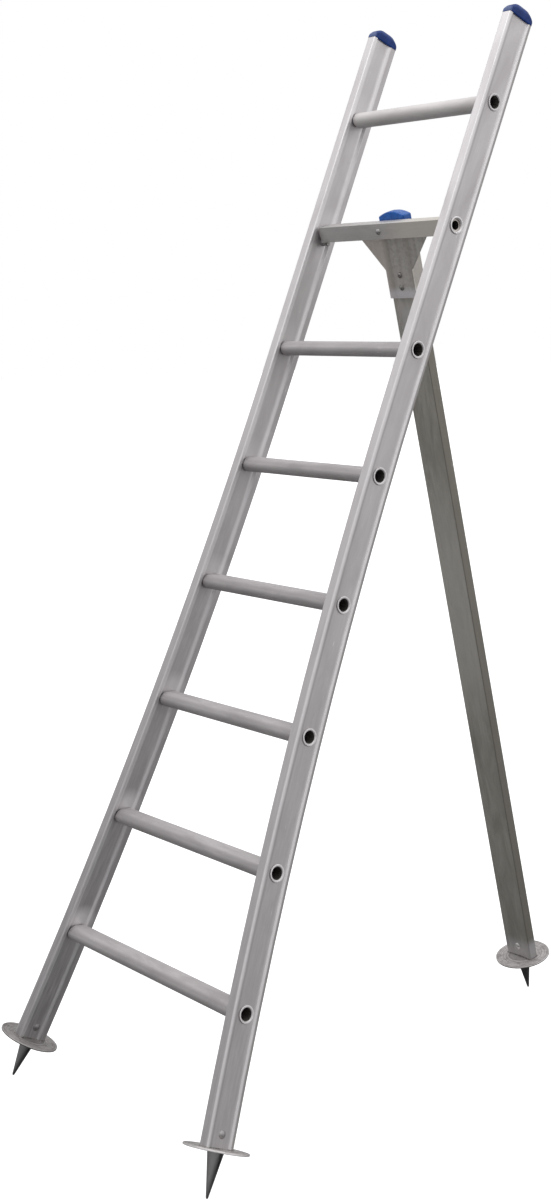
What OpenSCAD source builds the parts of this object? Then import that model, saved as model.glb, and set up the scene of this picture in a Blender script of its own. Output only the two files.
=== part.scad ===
// Three-legged aluminium orchard ladder with a folding rear leg.
// Two splayed stiles carry level treads, and a rear leg swings on the seventh rung position.
// The front of the ladder faces -Y, the leg stands to +Y, and the ground is at Z = 0.

/* [Ladder frame] */
// Angle that the ladder leans back from upright
ladder_lean = 23; // [18:0.1:26]
// Distance between rung axes along the stiles
rung_pitch = 280; // [250:1:310]
// Distance between the stile centrelines where they run parallel
stile_spacing = 432; // [390:1:500]
// Distance up from the bottom rung to where the stiles begin to splay
splay_start = 1340; // [1180:1:1400]
// Radius of the curve that the splayed stiles follow
splay_radius = 9340; // [7500:10:14000]
// Distance from the bottom rung down to the cut end of the stiles
foot_drop = 259; // [200:1:300]
// Distance from the top rung up to the cut top of the stiles
head_rise = 193; // [130:1:240]

/* [Stile section] */
// Width of a stile, across the ladder
stile_width = 25; // [22:0.5:28]
// Depth of a stile, front to back
stile_depth = 70; // [64:0.5:78]
// Wall of the stile extrusion
stile_wall = 2; // [1.6:0.1:2.5]
// Corner radius of the stile extrusion
stile_corner = 3; // [2.6:0.1:4]
// Depth of the recessed web below the rims
web_recess = 3; // [1.5:0.1:3.5]
// Width of the rims on the outer face and of the front rim on the inner face
rim_width = 9; // [7:0.1:10]
// Width of the rear rim on the inner face
rear_rim_width = 15; // [10:0.1:17]
// Run of the slope from a rim down to the web
rim_slope = 2.5; // [1:0.1:3]
// Run of the wide slope beside the inner rear rim
rear_rim_slope = 7; // [3:0.1:9]

/* [Rungs] */
// Depth of a tread, front to back
rung_depth = 50; // [45:0.5:54]
// Height of a tread
rung_height = 32; // [29:0.5:33]
// Wall of the rungs and of their round ends
rung_wall = 2; // [1.5:0.1:2.5]
// How far the turned round end stands below the tread's height on each side
spigot_step = 1; // [0.5:0.1:1.5]
// How far the flared lip reaches past the round end
lip_reach = 3.6; // [2.5:0.1:4.2]
// Thickness of the flared lip
lip_thickness = 2.4; // [1.6:0.1:2.8]

/* [Hinge] */
// Diameter of the hinge axle
axle_diameter = 25.6; // [24:0.1:26.4]
// Wall of the hinge axle tube
axle_wall = 3.2; // [2:0.1:4]
// Wall of the sleeves that carry the axle in the stiles
sleeve_wall = 2.2; // [1.6:0.1:2.6]
// How far the axle ends stand back inside the sleeve mouths
axle_setback = 6; // [4:0.5:8]
// Height of the hinge beam, along the leg
beam_height = 34; // [33:0.5:39]
// Depth of the hinge beam, front to back
beam_depth = 41; // [38:0.5:48]
// Wall of the hinge beam
beam_wall = 2.5; // [1.5:0.1:2.6]
// Length of the plugs that hold the axle in the beam ends
beam_plug_length = 30; // [20:1:50]
// Thickness of the spacers beside the beam ends
spacer_thickness = 6; // [4:0.5:9]
// Diameter of the spacers
spacer_diameter = 33; // [31:0.5:36]
// Diameter of the stop pins under the beam
stop_pin_diameter = 9; // [7:0.5:10]
// How far the stop pins stand in front of the axle, in the leg's own direction
stop_pin_offset = 11; // [8:0.5:14]
// How far the stop pins reach under the beam
stop_pin_reach = 12; // [8:0.5:20]

/* [Rear leg] */
// Angle that the rear leg leans forward from upright when the ladder stands
leg_lean = 13.5; // [11:0.1:18]
// Width of the leg, across the ladder
leg_width = 80; // [70:0.5:88]
// Depth of the leg, front to back
leg_depth = 25; // [22:0.5:28]
// Wall of the leg extrusion
leg_wall = 2; // [1.6:0.1:2.5]
// Corner radius of the leg extrusion
leg_corner = 3; // [2.6:0.1:4]
// Width of the rims on the wide faces of the leg
leg_rim_width = 13; // [9:0.1:17]
// Depth of the web below those rims
leg_recess = 1.2; // [0.6:0.1:1.8]
// Height of the leg's cut top above the hinge axis
leg_top_rise = 10; // [8:0.5:18]

/* [Bracket] */
// Thickness of the bracket plate
bracket_thickness = 3; // [2.5:0.1:4]
// Width of the bracket across its wings
wing_width = 216; // [170:1:260]
// Distance from the hinge axis down to the lower corner of the wings' upright edge
wing_drop = 21; // [18:0.5:30]
// Distance from the hinge axis down to where the wings end
knee_drop = 94; // [70:1:98]
// Distance from the hinge axis down to the bracket's lower end
bracket_drop = 158; // [146:1:200]
// How far the side flanges reach past the back of the leg
flange_overlap = 4; // [2:0.1:8]
// Distance from the hinge axis down to the upper leg bolt
upper_bolt_drop = 106; // [94:1:110]
// Distance from the hinge axis down to the lower leg bolt
lower_bolt_drop = 134; // [126:1:140]

/* [Feet] */
// Diameter of the foot discs
disc_diameter = 134; // [100:1:150]
// Thickness of the foot discs
disc_thickness = 3; // [2:0.1:5]
// Width of the raised edge round a disc
disc_rim_width = 4; // [2:0.1:6]
// Height of the raised edge above the disc
disc_rim_height = 1.6; // [0.8:0.1:3]
// Diameter of the spikes at the disc
spike_diameter = 35; // [24:0.5:40]
// Length of the spikes below the disc
spike_length = 92; // [70:1:110]
// Radius of the spikes' rounded tips
spike_tip_radius = 2.5; // [1.5:0.1:4]
// Diameter of the stud that holds a spike in its plug
stud_diameter = 7; // [5:0.1:8]
// Length of the stud above the disc
stud_length = 20; // [14:0.5:21]
// Length of the plugs inside the lower ends of the stiles and the leg
plug_length = 60; // [45:1:80]
// Diameter of the rivets that hold the plugs
rivet_diameter = 8; // [6:0.5:10]
// Diameter of the rivet heads
rivet_head_diameter = 17; // [11:0.5:20]
// Height of the rivet heads
rivet_head_height = 3.4; // [2:0.1:4.5]
// Height of the rivets above the cut ends
rivet_rise = 28; // [27:0.5:38]

/* [End caps] */
// Height of the upright wall of a cap, up to the ends of its dome
cap_wall_height = 13.5; // [8:0.5:16]
// How far the dome rises from its ends to its middle
cap_dome_rise = 14.5; // [8:0.5:16]
// How far the dome rises from its long edges to its middle
cap_crown_rise = 8.5; // [4:0.5:10]
// How far the caps stand out past the tube they close
cap_overhang = 0.6; // [0.2:0.1:1.5]
// How far the caps reach down inside the tube
cap_plug_depth = 26; // [15:1:40]

/* [Fasteners] */
// Diameter of the bolts in the leg and the beam
bolt_diameter = 8; // [6:0.5:9]
// Diameter of the bolt heads
bolt_head_diameter = 14; // [12:0.5:17]
// Height of the bolt heads
bolt_head_height = 5; // [3:0.1:6]
// Width of the nuts across their corners
nut_diameter = 15; // [13:0.5:18]
// Height of the nuts
nut_height = 6.5; // [4:0.1:8]
// How far the bolts stand out past their nuts
bolt_tail = 2.5; // [1:0.1:5]

/* [Hidden] */

right = 1;
left = -1;
aluminium = "#c6c6c8";
leg_aluminium = "#9a9a98";
zinc_plate = "#a9abac";
disc_steel = "#b4b5b7";
spike_steel = "#2f2f31";
cap_blue = "#1f4fa8";
black_nylon = "#202022";

round_facets = 64;
bend_facets = 2880;
hinge_row = 6;
top_row = 7;

// Clearances and the overrun that every cut has
overrun = 1;
hole_clearance = 0.1;
seat_gap = 0.1;
running_clearance = 0.08;
plug_clearance = 0.4;
stop_gap = 0.3;
bolt_clearance = 0.2;

// Frame positions along the ladder, measured from the bottom rung
stile_top = top_row * rung_pitch + head_rise;
half_spacing = stile_spacing / 2;
splay_angle = asin((splay_start + foot_drop) / splay_radius);
foot_x = half_spacing + splay_radius * (1 - cos(splay_angle));
foot_tilt_y = cos(splay_angle) * sin(ladder_lean);

// Rungs and hinge
spigot_radius = rung_height / 2 - spigot_step;
bore_radius = spigot_radius - rung_wall;
lip_radius = spigot_radius + lip_reach;
web_offset = stile_width / 2 - web_recess;
axle_radius = axle_diameter / 2;
sleeve_bore = axle_radius + running_clearance;
sleeve_radius = sleeve_bore + sleeve_wall;
beam_end = half_spacing - stile_width / 2 - seat_gap - spacer_thickness - seat_gap;
trim_size = rung_pitch / 2;

// Rear leg, measured from the hinge axis with +Y behind it and +Z up the leg
leg_front = beam_depth / 2 + bracket_thickness;
leg_offset = leg_front + leg_depth / 2;
leg_back = leg_front + leg_depth;
spike_reach = disc_thickness + spike_length - spike_tip_radius;
ground_drop = (foot_drop + spike_reach * cos(splay_angle)) * cos(ladder_lean) + spike_tip_radius;
hinge_height = ground_drop + hinge_row * rung_pitch * cos(ladder_lean);
tip_drop = (hinge_height + leg_offset * sin(leg_lean) - spike_tip_radius) / cos(leg_lean);
leg_end_drop = tip_drop - spike_reach;

// The origin lies under the middle of the stance, between the outer edges of the front and rear discs
front_edge = -(foot_drop + disc_thickness * cos(splay_angle)) * sin(ladder_lean)
    - disc_diameter / 2 * sqrt(1 - pow(foot_tilt_y, 2));
hinge_setback = hinge_row * rung_pitch * sin(ladder_lean);
rear_edge = hinge_setback + leg_offset * cos(leg_lean)
    + (leg_end_drop + disc_thickness) * sin(leg_lean) + disc_diameter / 2 * cos(leg_lean);
bottom_rung_y = -(front_edge + rear_edge) / 2;

cap_height = cap_wall_height + cap_dome_rise;

$fn = round_facets;

// Angle of the stile against the ladder's length at a distance s above the bottom rung
function splay_at(s) = asin(max(0, splay_start - s) / splay_radius);

// Distance of the stile's centreline from the middle of the ladder at a distance s above the bottom rung
function stile_x(s) = half_spacing + splay_radius * (1 - cos(splay_at(s)));

// Radius of the arc that rises by rise over a half chord
function arc_radius(half_chord, rise) = (pow(half_chord, 2) + pow(rise, 2)) / (2 * rise);

// Puts the ladder's own frame, with its origin on the bottom rung, where the ladder stands
module in_ladder() {
    translate([0, bottom_rung_y, ground_drop])
        rotate([-ladder_lean, 0, 0])
            children();
}

// Puts the leg's own frame, with its origin on the hinge axis, where the leg stands
module in_leg() {
    translate([0, bottom_rung_y + hinge_setback, hinge_height])
        rotate([leg_lean, 0, 0])
            children();
}

// Mirrors a right-hand piece for the left
module on_side(side) {
    mirror([side == left ? 1 : 0, 0, 0])
        children();
}

// Puts a foot's frame on the cut end of a stile, with +Z up the stile
module at_stile_foot() {
    translate([foot_x, 0, -foot_drop])
        rotate([0, -splay_angle, 0])
            children();
}

// Puts a foot's frame on the cut end of the leg
module at_leg_foot() {
    translate([0, leg_offset, -leg_end_drop])
        children();
}

// Turns a piece made along Z so that it lies along X
module along_x() {
    rotate([0, 90, 0])
        children();
}

// Turns a piece made along Z so that it points to the back
module along_y() {
    rotate([-90, 0, 0])
        children();
}

module rounded_rectangle(width, depth, radius) {
    square([width - 2 * radius, depth], center = true);
    square([width, depth - 2 * radius], center = true);
    for (x = [-1, 1], y = [-1, 1])
        translate([x * (width / 2 - radius), y * (depth / 2 - radius)])
            circle(radius);
}

// A shallow channel cut into the +X face of a section, between two rims with sloping sides
module web_channel(face, depth, recess, front_rim, rear_rim, front_slope, rear_slope) {
    polygon([
        [face + overrun, -depth / 2 + front_rim],
        [face, -depth / 2 + front_rim],
        [face - recess, -depth / 2 + front_rim + front_slope],
        [face - recess, depth / 2 - rear_rim - rear_slope],
        [face, depth / 2 - rear_rim],
        [face + overrun, depth / 2 - rear_rim],
    ]);
}

// The two web channels of a stile, moved inwards and widened by inset
module stile_channels(inset) {
    web_channel(
        stile_width / 2 - inset, stile_depth, web_recess,
        rim_width - inset / 2, rim_width - inset / 2, rim_slope, rim_slope
    );
    mirror([1, 0])
        web_channel(
            stile_width / 2 - inset, stile_depth, web_recess,
            rim_width - inset / 2, rear_rim_width - inset / 2, rim_slope, rear_rim_slope
        );
}

// Section of a stile, with +X to the outside of the ladder and +Y to the back
module stile_section() {
    difference() {
        rounded_rectangle(stile_width, stile_depth, stile_corner);
        stile_channels(0);
        difference() {
            rounded_rectangle(
                stile_width - 2 * stile_wall, stile_depth - 2 * stile_wall, stile_corner - stile_wall
            );
            stile_channels(stile_wall);
        }
    }
}

// A stile's length: straight at the top, curving outwards below the splay
module stile_length() {
    translate([half_spacing, 0, splay_start])
        linear_extrude(height = stile_top - splay_start)
            stile_section();
    translate([half_spacing + splay_radius, 0, splay_start])
        rotate([-90, 0, 180])
            rotate_extrude(angle = splay_angle, $fn = bend_facets)
                translate([splay_radius, 0])
                    rotate(180)
                        stile_section();
}

module rung_hole(row, radius) {
    translate([stile_x(row * rung_pitch), 0, row * rung_pitch])
        along_x()
            cylinder(h = 2 * stile_width, r = radius, center = true);
}

module stile(side) {
    color(aluminium)
        on_side(side)
            difference() {
                in_ladder()
                    difference() {
                        stile_length();
                        for (row = [0 : top_row])
                            rung_hole(row, (row == hinge_row ? sleeve_radius : spigot_radius) + hole_clearance);
                        at_stile_foot()
                            stile_rivet_hole();
                    }
                in_leg()
                    stop_pin_hole();
            }
}

// Section of a tread, as a flat oval
module tread_outline(depth, height) {
    square([depth - height, height], center = true);
    for (y = [-1, 1])
        translate([y * (depth - height) / 2, 0])
            circle(d = height);
}

module tread_section() {
    difference() {
        tread_outline(rung_depth, rung_height);
        tread_outline(rung_depth - 2 * rung_wall, rung_height - 2 * rung_wall);
    }
}

// A block that trims what lies outside a face that is set off from a stile's centreline
module beyond_face(row, offset_from_centre) {
    angle = splay_at(row * rung_pitch);
    translate([stile_x(row * rung_pitch) + offset_from_centre / cos(angle), 0, 0])
        rotate([0, -angle, 0])
            translate([0, -trim_size / 2, -trim_size / 2])
                cube(trim_size);
}

// The flared lip of a round end, seated on the outer web of a stile
module end_lip(row) {
    angle = splay_at(row * rung_pitch);
    translate([stile_x(row * rung_pitch) + (web_offset + seat_gap) / cos(angle), 0, 0])
        rotate([0, -angle, 0])
            along_x() {
                cylinder(h = lip_thickness, r = lip_radius - lip_thickness / 2);
                translate([0, 0, lip_thickness / 2])
                    rotate_extrude()
                        translate([lip_radius - lip_thickness / 2, 0])
                            circle(d = lip_thickness);
            }
}

// The widened mouth of a bore at the lip
module lip_mouth(row, radius) {
    angle = splay_at(row * rung_pitch);
    translate([stile_x(row * rung_pitch) + (web_offset + seat_gap + lip_thickness) / cos(angle), 0, 0])
        rotate([0, -angle, 0])
            along_x()
                translate([0, 0, -2 * lip_thickness])
                    cylinder(
                        h = 3 * lip_thickness, r1 = radius - lip_thickness, r2 = radius + 2 * lip_thickness
                    );
}

// A hollow tread whose ends are turned round, passed through the stiles and flared
module rung(row) {
    reach = 2 * (stile_x(row * rung_pitch) + stile_width);
    spigot_end = web_offset + seat_gap + lip_thickness / 2;
    color(aluminium)
        in_ladder()
            translate([0, 0, row * rung_pitch])
                difference() {
                    union() {
                        difference() {
                            rotate([ladder_lean, 0, 0])
                                rotate([90, 0, 90])
                                    linear_extrude(height = reach, center = true)
                                        tread_section();
                            for (side = [left, right])
                                on_side(side)
                                    beyond_face(row, -stile_width / 2 - seat_gap);
                        }
                        difference() {
                            along_x()
                                cylinder(h = reach, r = spigot_radius, center = true);
                            for (side = [left, right])
                                on_side(side)
                                    beyond_face(row, spigot_end);
                        }
                        for (side = [left, right])
                            on_side(side)
                                end_lip(row);
                    }
                    along_x()
                        cylinder(h = reach + overrun, r = bore_radius, center = true);
                    for (side = [left, right])
                        on_side(side)
                            lip_mouth(row, bore_radius);
                }
}

// A flared sleeve in a stile that the axle turns in
module hinge_sleeve(side) {
    inner_face = half_spacing - stile_width / 2;
    color(aluminium)
        on_side(side)
            in_ladder()
                translate([0, 0, hinge_row * rung_pitch])
                    difference() {
                        union() {
                            translate([inner_face, 0, 0])
                                along_x()
                                    cylinder(
                                        h = half_spacing + web_offset + seat_gap + lip_thickness - inner_face,
                                        r = sleeve_radius
                                    );
                            end_lip(hinge_row);
                        }
                        translate([inner_face - overrun, 0, 0])
                            along_x()
                                cylinder(h = 2 * stile_width, r = sleeve_bore);
                        lip_mouth(hinge_row, sleeve_bore);
                    }
}

module hinge_axle() {
    end_x = half_spacing + web_offset + seat_gap + lip_thickness - axle_setback;
    color(aluminium)
        in_leg()
            difference() {
                along_x()
                    cylinder(h = 2 * end_x, r = axle_radius, center = true);
                along_x()
                    cylinder(h = 2 * end_x + overrun, r = axle_radius - axle_wall, center = true);
                bolt_hole(0);
            }
}

// A clearance hole from front to back through the beam, the bracket and the leg
module bolt_hole(drop) {
    translate([0, -beam_depth, -drop])
        along_y()
            cylinder(h = beam_depth + 2 * leg_back, d = bolt_diameter + 2 * bolt_clearance);
}

module hinge_beam() {
    color(leg_aluminium)
        in_leg()
            difference() {
                cube([2 * beam_end, beam_depth, beam_height], center = true);
                cube(
                    [2 * beam_end + overrun, beam_depth - 2 * beam_wall, beam_height - 2 * beam_wall],
                    center = true
                );
                bolt_hole(0);
            }
}

// A plug that holds the axle in one end of the beam
module beam_plug(side) {
    color(black_nylon)
        on_side(side)
            in_leg()
                translate([beam_end - beam_plug_length / 2, 0, 0])
                    difference() {
                        cube(
                            [
                                beam_plug_length,
                                beam_depth - 2 * beam_wall - 2 * seat_gap,
                                beam_height - 2 * beam_wall - 2 * seat_gap,
                            ],
                            center = true
                        );
                        along_x()
                            cylinder(
                                h = beam_plug_length + overrun, r = axle_radius + seat_gap, center = true
                            );
                    }
}

// A spacer ring on the axle between the beam's end and the stile
module spacer(side) {
    color(aluminium)
        on_side(side)
            in_leg()
                translate([beam_end + seat_gap / 2, 0, 0])
                    along_x()
                        difference() {
                            cylinder(h = spacer_thickness, d = spacer_diameter);
                            translate([0, 0, -overrun])
                                cylinder(h = spacer_thickness + 2 * overrun, r = axle_radius + seat_gap);
                        }
}

// Puts a frame on a stop pin's axis, where the pin meets the inner web of the right stile
module at_stop_pin() {
    pin_drop = beam_height / 2 + stop_gap + stop_pin_diameter / 2;
    translate([half_spacing - web_offset, -stop_pin_offset, -pin_drop])
        along_x()
            children();
}

module stop_pin_hole() {
    at_stop_pin()
        translate([0, 0, -overrun])
            cylinder(h = stile_wall + 2 * overrun, d = stop_pin_diameter / 2 + 2 * hole_clearance);
}

// A pin on the stile that the beam comes down on when the leg is fully open
module stop_pin(side) {
    pin_length = half_spacing - web_offset - beam_end + stop_pin_reach;
    color(zinc_plate)
        on_side(side)
            in_leg()
                at_stop_pin() {
                    translate([0, 0, -seat_gap - pin_length])
                        cylinder(h = pin_length, d = stop_pin_diameter);
                    translate([0, 0, -seat_gap - stile_wall / 2])
                        cylinder(h = stile_wall * 3 / 2 + 2 * seat_gap, d = stop_pin_diameter / 2);
                    translate([0, 0, stile_wall + seat_gap])
                        cylinder(h = stile_wall, d = stop_pin_diameter);
                }
}

// Section of the leg, with its wide faces to the front and back
module leg_section() {
    difference() {
        rounded_rectangle(leg_width, leg_depth, leg_corner);
        for (turn = [-90, 90])
            rotate(turn)
                web_channel(
                    leg_depth / 2, leg_width, leg_recess, leg_rim_width, leg_rim_width, leg_recess, leg_recess
                );
        difference() {
            rounded_rectangle(leg_width - 2 * leg_wall, leg_depth - 2 * leg_wall, leg_corner - leg_wall);
            for (turn = [-90, 90])
                rotate(turn)
                    web_channel(
                        leg_depth / 2 - leg_wall, leg_width, leg_recess,
                        leg_rim_width, leg_rim_width, leg_recess, leg_recess
                    );
        }
    }
}

module rear_leg() {
    color(leg_aluminium)
        in_leg()
            difference() {
                translate([0, leg_offset, -leg_end_drop])
                    linear_extrude(height = leg_end_drop + leg_top_rise)
                        leg_section();
                for (drop = [0, upper_bolt_drop, lower_bolt_drop])
                    bolt_hole(drop);
                at_leg_foot()
                    leg_rivet_hole();
            }
}

// Outline of the bracket plate, across the ladder and up the leg
module bracket_outline() {
    half_strip = leg_width / 2 + hole_clearance + bracket_thickness;
    polygon([
        [-half_strip, -bracket_drop],
        [half_strip, -bracket_drop],
        [half_strip, -knee_drop],
        [wing_width / 2, -wing_drop],
        [wing_width / 2, leg_top_rise - seat_gap],
        [-wing_width / 2, leg_top_rise - seat_gap],
        [-wing_width / 2, -wing_drop],
        [-half_strip, -knee_drop],
    ]);
}

// The bracket: a winged plate behind the beam, with flanges down both sides of the leg
module leg_bracket() {
    flange_depth = bracket_thickness + leg_depth + flange_overlap;
    color(zinc_plate)
        in_leg()
            difference() {
                union() {
                    translate([0, leg_front, 0])
                        rotate([90, 0, 0])
                            linear_extrude(height = bracket_thickness)
                                bracket_outline();
                    for (side = [left, right])
                        on_side(side)
                            translate([leg_width / 2 + hole_clearance, beam_depth / 2, -bracket_drop])
                                cube([bracket_thickness, flange_depth, bracket_drop - beam_height / 2]);
                }
                for (drop = [0, upper_bolt_drop, lower_bolt_drop])
                    bolt_hole(drop);
            }
}

// A round-headed bolt along Y with its head in front of head_y and its tail past nut_y
module bolt(head_y, nut_y) {
    along_y() {
        translate([0, 0, head_y])
            cylinder(h = nut_y - head_y + nut_height + bolt_tail, d = bolt_diameter);
        translate([0, 0, head_y])
            low_dome(bolt_head_diameter, bolt_head_height);
    }
}

// A low dome that rises from Z = 0 towards -Z
module low_dome(diameter, height) {
    dome_radius = arc_radius(diameter / 2, height);
    intersection() {
        translate([0, 0, dome_radius - height])
            sphere(dome_radius);
        translate([0, 0, -height])
            cylinder(h = height, d = diameter);
    }
}

module nut(nut_y) {
    along_y()
        translate([0, 0, nut_y])
            difference() {
                cylinder(h = nut_height, d = nut_diameter, $fn = 6);
                translate([0, 0, -overrun])
                    cylinder(h = nut_height + 2 * overrun, d = bolt_diameter + hole_clearance);
            }
}

module beam_bolt() {
    color(zinc_plate)
        in_leg()
            bolt(-beam_depth / 2, leg_back - leg_recess);
}

module beam_nut() {
    color(zinc_plate)
        in_leg()
            nut(leg_back - leg_recess);
}

module leg_bolts() {
    color(zinc_plate)
        in_leg()
            for (drop = [upper_bolt_drop, lower_bolt_drop])
                translate([0, 0, -drop])
                    bolt(beam_depth / 2, leg_back - leg_recess);
}

module leg_nuts() {
    color(zinc_plate)
        in_leg()
            for (drop = [upper_bolt_drop, lower_bolt_drop])
                translate([0, 0, -drop])
                    nut(leg_back - leg_recess);
}

// A domed cap that closes a tube of the given outside and inside sizes
module end_cap(width, depth, corner, plug_width, plug_depth) {
    half_width = width / 2 + cap_overhang;
    half_depth = depth / 2 + cap_overhang;
    long_half = max(half_width, half_depth);
    short_half = min(half_width, half_depth);
    long_arch = arc_radius(long_half, cap_dome_rise);
    short_arch = arc_radius(short_half, cap_crown_rise);
    turn = half_width > half_depth ? 90 : 0;
    linear_extrude(height = cap_wall_height)
        rounded_rectangle(2 * half_width, 2 * half_depth, corner + cap_overhang);
    intersection() {
        linear_extrude(height = cap_height)
            rounded_rectangle(2 * half_width, 2 * half_depth, corner + cap_overhang);
        rotate([0, 0, turn])
            translate([0, 0, cap_height - long_arch])
                along_x()
                    cylinder(h = 2 * long_half, r = long_arch, center = true, $fn = 4 * round_facets);
        rotate([0, 0, turn])
            translate([0, 0, cap_height - short_arch])
                along_y()
                    cylinder(h = 4 * long_half, r = short_arch, center = true, $fn = 2 * round_facets);
    }
    translate([-plug_width / 2, -plug_depth / 2, -cap_plug_depth])
        cube([plug_width, plug_depth, cap_plug_depth + cap_wall_height / 2]);
}

module stile_cap(side) {
    color(cap_blue)
        on_side(side)
            in_ladder()
                translate([half_spacing, 0, stile_top])
                    end_cap(stile_width, stile_depth, stile_corner, stile_plug_width(), stile_plug_depth());
}

// The leg's cap, which the beam bolt also runs through
module leg_cap() {
    color(cap_blue)
        in_leg()
            difference() {
                translate([0, leg_offset, leg_top_rise])
                    end_cap(leg_width, leg_depth, leg_corner, leg_plug_width(), leg_plug_depth());
                bolt_hole(0);
            }
}

// Outside sizes of the plugs that fit inside the stiles and the leg
function stile_plug_width() = 2 * (web_offset - stile_wall - plug_clearance);
function stile_plug_depth() = stile_depth - 2 * (stile_wall + plug_clearance);
function leg_plug_width() = leg_width - 2 * (leg_wall + plug_clearance);
function leg_plug_depth() = leg_depth - 2 * (leg_wall + leg_recess + plug_clearance);

// A plug inside a tube's lower end, bored for a spike's stud
module foot_plug(width, depth) {
    color(black_nylon)
        difference() {
            translate([-width / 2, -depth / 2, 0])
                cube([width, depth, plug_length]);
            translate([0, 0, -overrun])
                cylinder(h = stud_length + overrun + seat_gap, d = stud_diameter + hole_clearance);
            children();
        }
}

module stile_foot_plug(side) {
    on_side(side)
        in_ladder()
            at_stile_foot()
                foot_plug(stile_plug_width(), stile_plug_depth())
                    stile_rivet_hole();
}

module leg_foot_plug() {
    in_leg()
        at_leg_foot()
            foot_plug(leg_plug_width(), leg_plug_depth())
                leg_rivet_hole();
}

// A ground disc under a cut tube end, with a raised edge
module foot_disc() {
    color(disc_steel)
        difference() {
            union() {
                translate([0, 0, -disc_thickness])
                    cylinder(h = disc_thickness, d = disc_diameter, $fn = 2 * round_facets);
                rotate_extrude($fn = 2 * round_facets)
                    polygon([
                        [disc_diameter / 2 - disc_rim_width, -disc_thickness / 2],
                        [disc_diameter / 2, -disc_thickness / 2],
                        [disc_diameter / 2, disc_rim_height / 2],
                        [disc_diameter / 2 - disc_rim_width / 4, disc_rim_height],
                        [disc_diameter / 2 - disc_rim_width / 2, disc_rim_height],
                        [disc_diameter / 2 - disc_rim_width, 0],
                    ]);
            }
            translate([0, 0, -disc_thickness - overrun])
                cylinder(h = disc_thickness + 2 * overrun, d = stud_diameter + hole_clearance);
        }
}

module stile_foot_disc(side) {
    on_side(side)
        in_ladder()
            at_stile_foot()
                foot_disc();
}

module leg_foot_disc() {
    in_leg()
        at_leg_foot()
            foot_disc();
}

// A pointed ground spike with a rounded tip and a stud into the plug above it
module spike() {
    half_angle = asin((spike_diameter / 2 - spike_tip_radius) / (spike_length - spike_tip_radius));
    tip_z = -disc_thickness - spike_length + spike_tip_radius;
    cone_end_z = tip_z - spike_tip_radius * sin(half_angle);
    color(spike_steel) {
        translate([0, 0, cone_end_z])
            cylinder(
                h = -disc_thickness - cone_end_z,
                r1 = spike_tip_radius * cos(half_angle),
                r2 = spike_diameter / 2
            );
        translate([0, 0, tip_z])
            sphere(spike_tip_radius);
        translate([0, 0, -disc_thickness - overrun])
            cylinder(h = disc_thickness + overrun + stud_length, d = stud_diameter);
    }
}

module stile_spike(side) {
    on_side(side)
        in_ladder()
            at_stile_foot()
                spike();
}

module leg_spike() {
    in_leg()
        at_leg_foot()
            spike();
}

// A rivet along X with a low dome on each face, whose faces lie face_offset from the middle
module double_rivet(face_offset) {
    shank = face_offset + seat_gap;
    color(zinc_plate)
        translate([0, 0, rivet_rise])
            along_x() {
                cylinder(h = 2 * shank, d = rivet_diameter, center = true);
                for (end = [0, 1])
                    mirror([0, 0, end])
                        translate([0, 0, -shank])
                            low_dome(rivet_head_diameter, rivet_head_height);
            }
}

module rivet_hole(face_offset) {
    translate([0, 0, rivet_rise])
        along_x()
            cylinder(h = 2 * (face_offset + overrun), d = rivet_diameter + 2 * hole_clearance, center = true);
}

module stile_rivet_hole() {
    rivet_hole(stile_width / 2);
}

module leg_rivet_hole() {
    rotate([0, 0, 90])
        rivet_hole(leg_depth / 2);
}

module stile_foot_rivet(side) {
    on_side(side)
        in_ladder()
            at_stile_foot()
                double_rivet(web_offset);
}

module leg_foot_rivet() {
    in_leg()
        at_leg_foot()
            rotate([0, 0, 90])
                double_rivet(leg_depth / 2 - leg_recess);
}

stile(left);  // left_stile
stile(right);  // right_stile
rung(0);  // rung_1
rung(1);  // rung_2
rung(2);  // rung_3
rung(3);  // rung_4
rung(4);  // rung_5
rung(5);  // rung_6
rung(top_row);  // top_rung
hinge_sleeve(left);  // left_hinge_sleeve
hinge_sleeve(right);  // right_hinge_sleeve
stop_pin(left);  // left_stop_pin
stop_pin(right);  // right_stop_pin
stile_cap(left);  // left_stile_cap
stile_cap(right);  // right_stile_cap
stile_foot_plug(left);  // left_foot_plug
stile_foot_plug(right);  // right_foot_plug
stile_foot_disc(left);  // left_foot_disc
stile_foot_disc(right);  // right_foot_disc
stile_spike(left);  // left_spike
stile_spike(right);  // right_spike
stile_foot_rivet(left);  // left_foot_rivet
stile_foot_rivet(right);  // right_foot_rivet
hinge_axle();
hinge_beam();
beam_plug(left);  // left_beam_plug
beam_plug(right);  // right_beam_plug
spacer(left);  // left_spacer
spacer(right);  // right_spacer
leg_bracket();
rear_leg();
leg_cap();
leg_foot_plug();
leg_foot_disc();
leg_spike();
leg_foot_rivet();
beam_bolt();
beam_nut();
leg_bolts();
leg_nuts();
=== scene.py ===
"""Looks of a three-legged orchard ladder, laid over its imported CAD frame.

The scene is in metres. Sizes in the classes are in millimetres, as a maker notes them, and MM turns them into metres.
"""

import logging
import math
from dataclasses import dataclass, replace
from enum import Enum

import bpy
import numpy as np
from mathutils import Euler, Matrix


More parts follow.
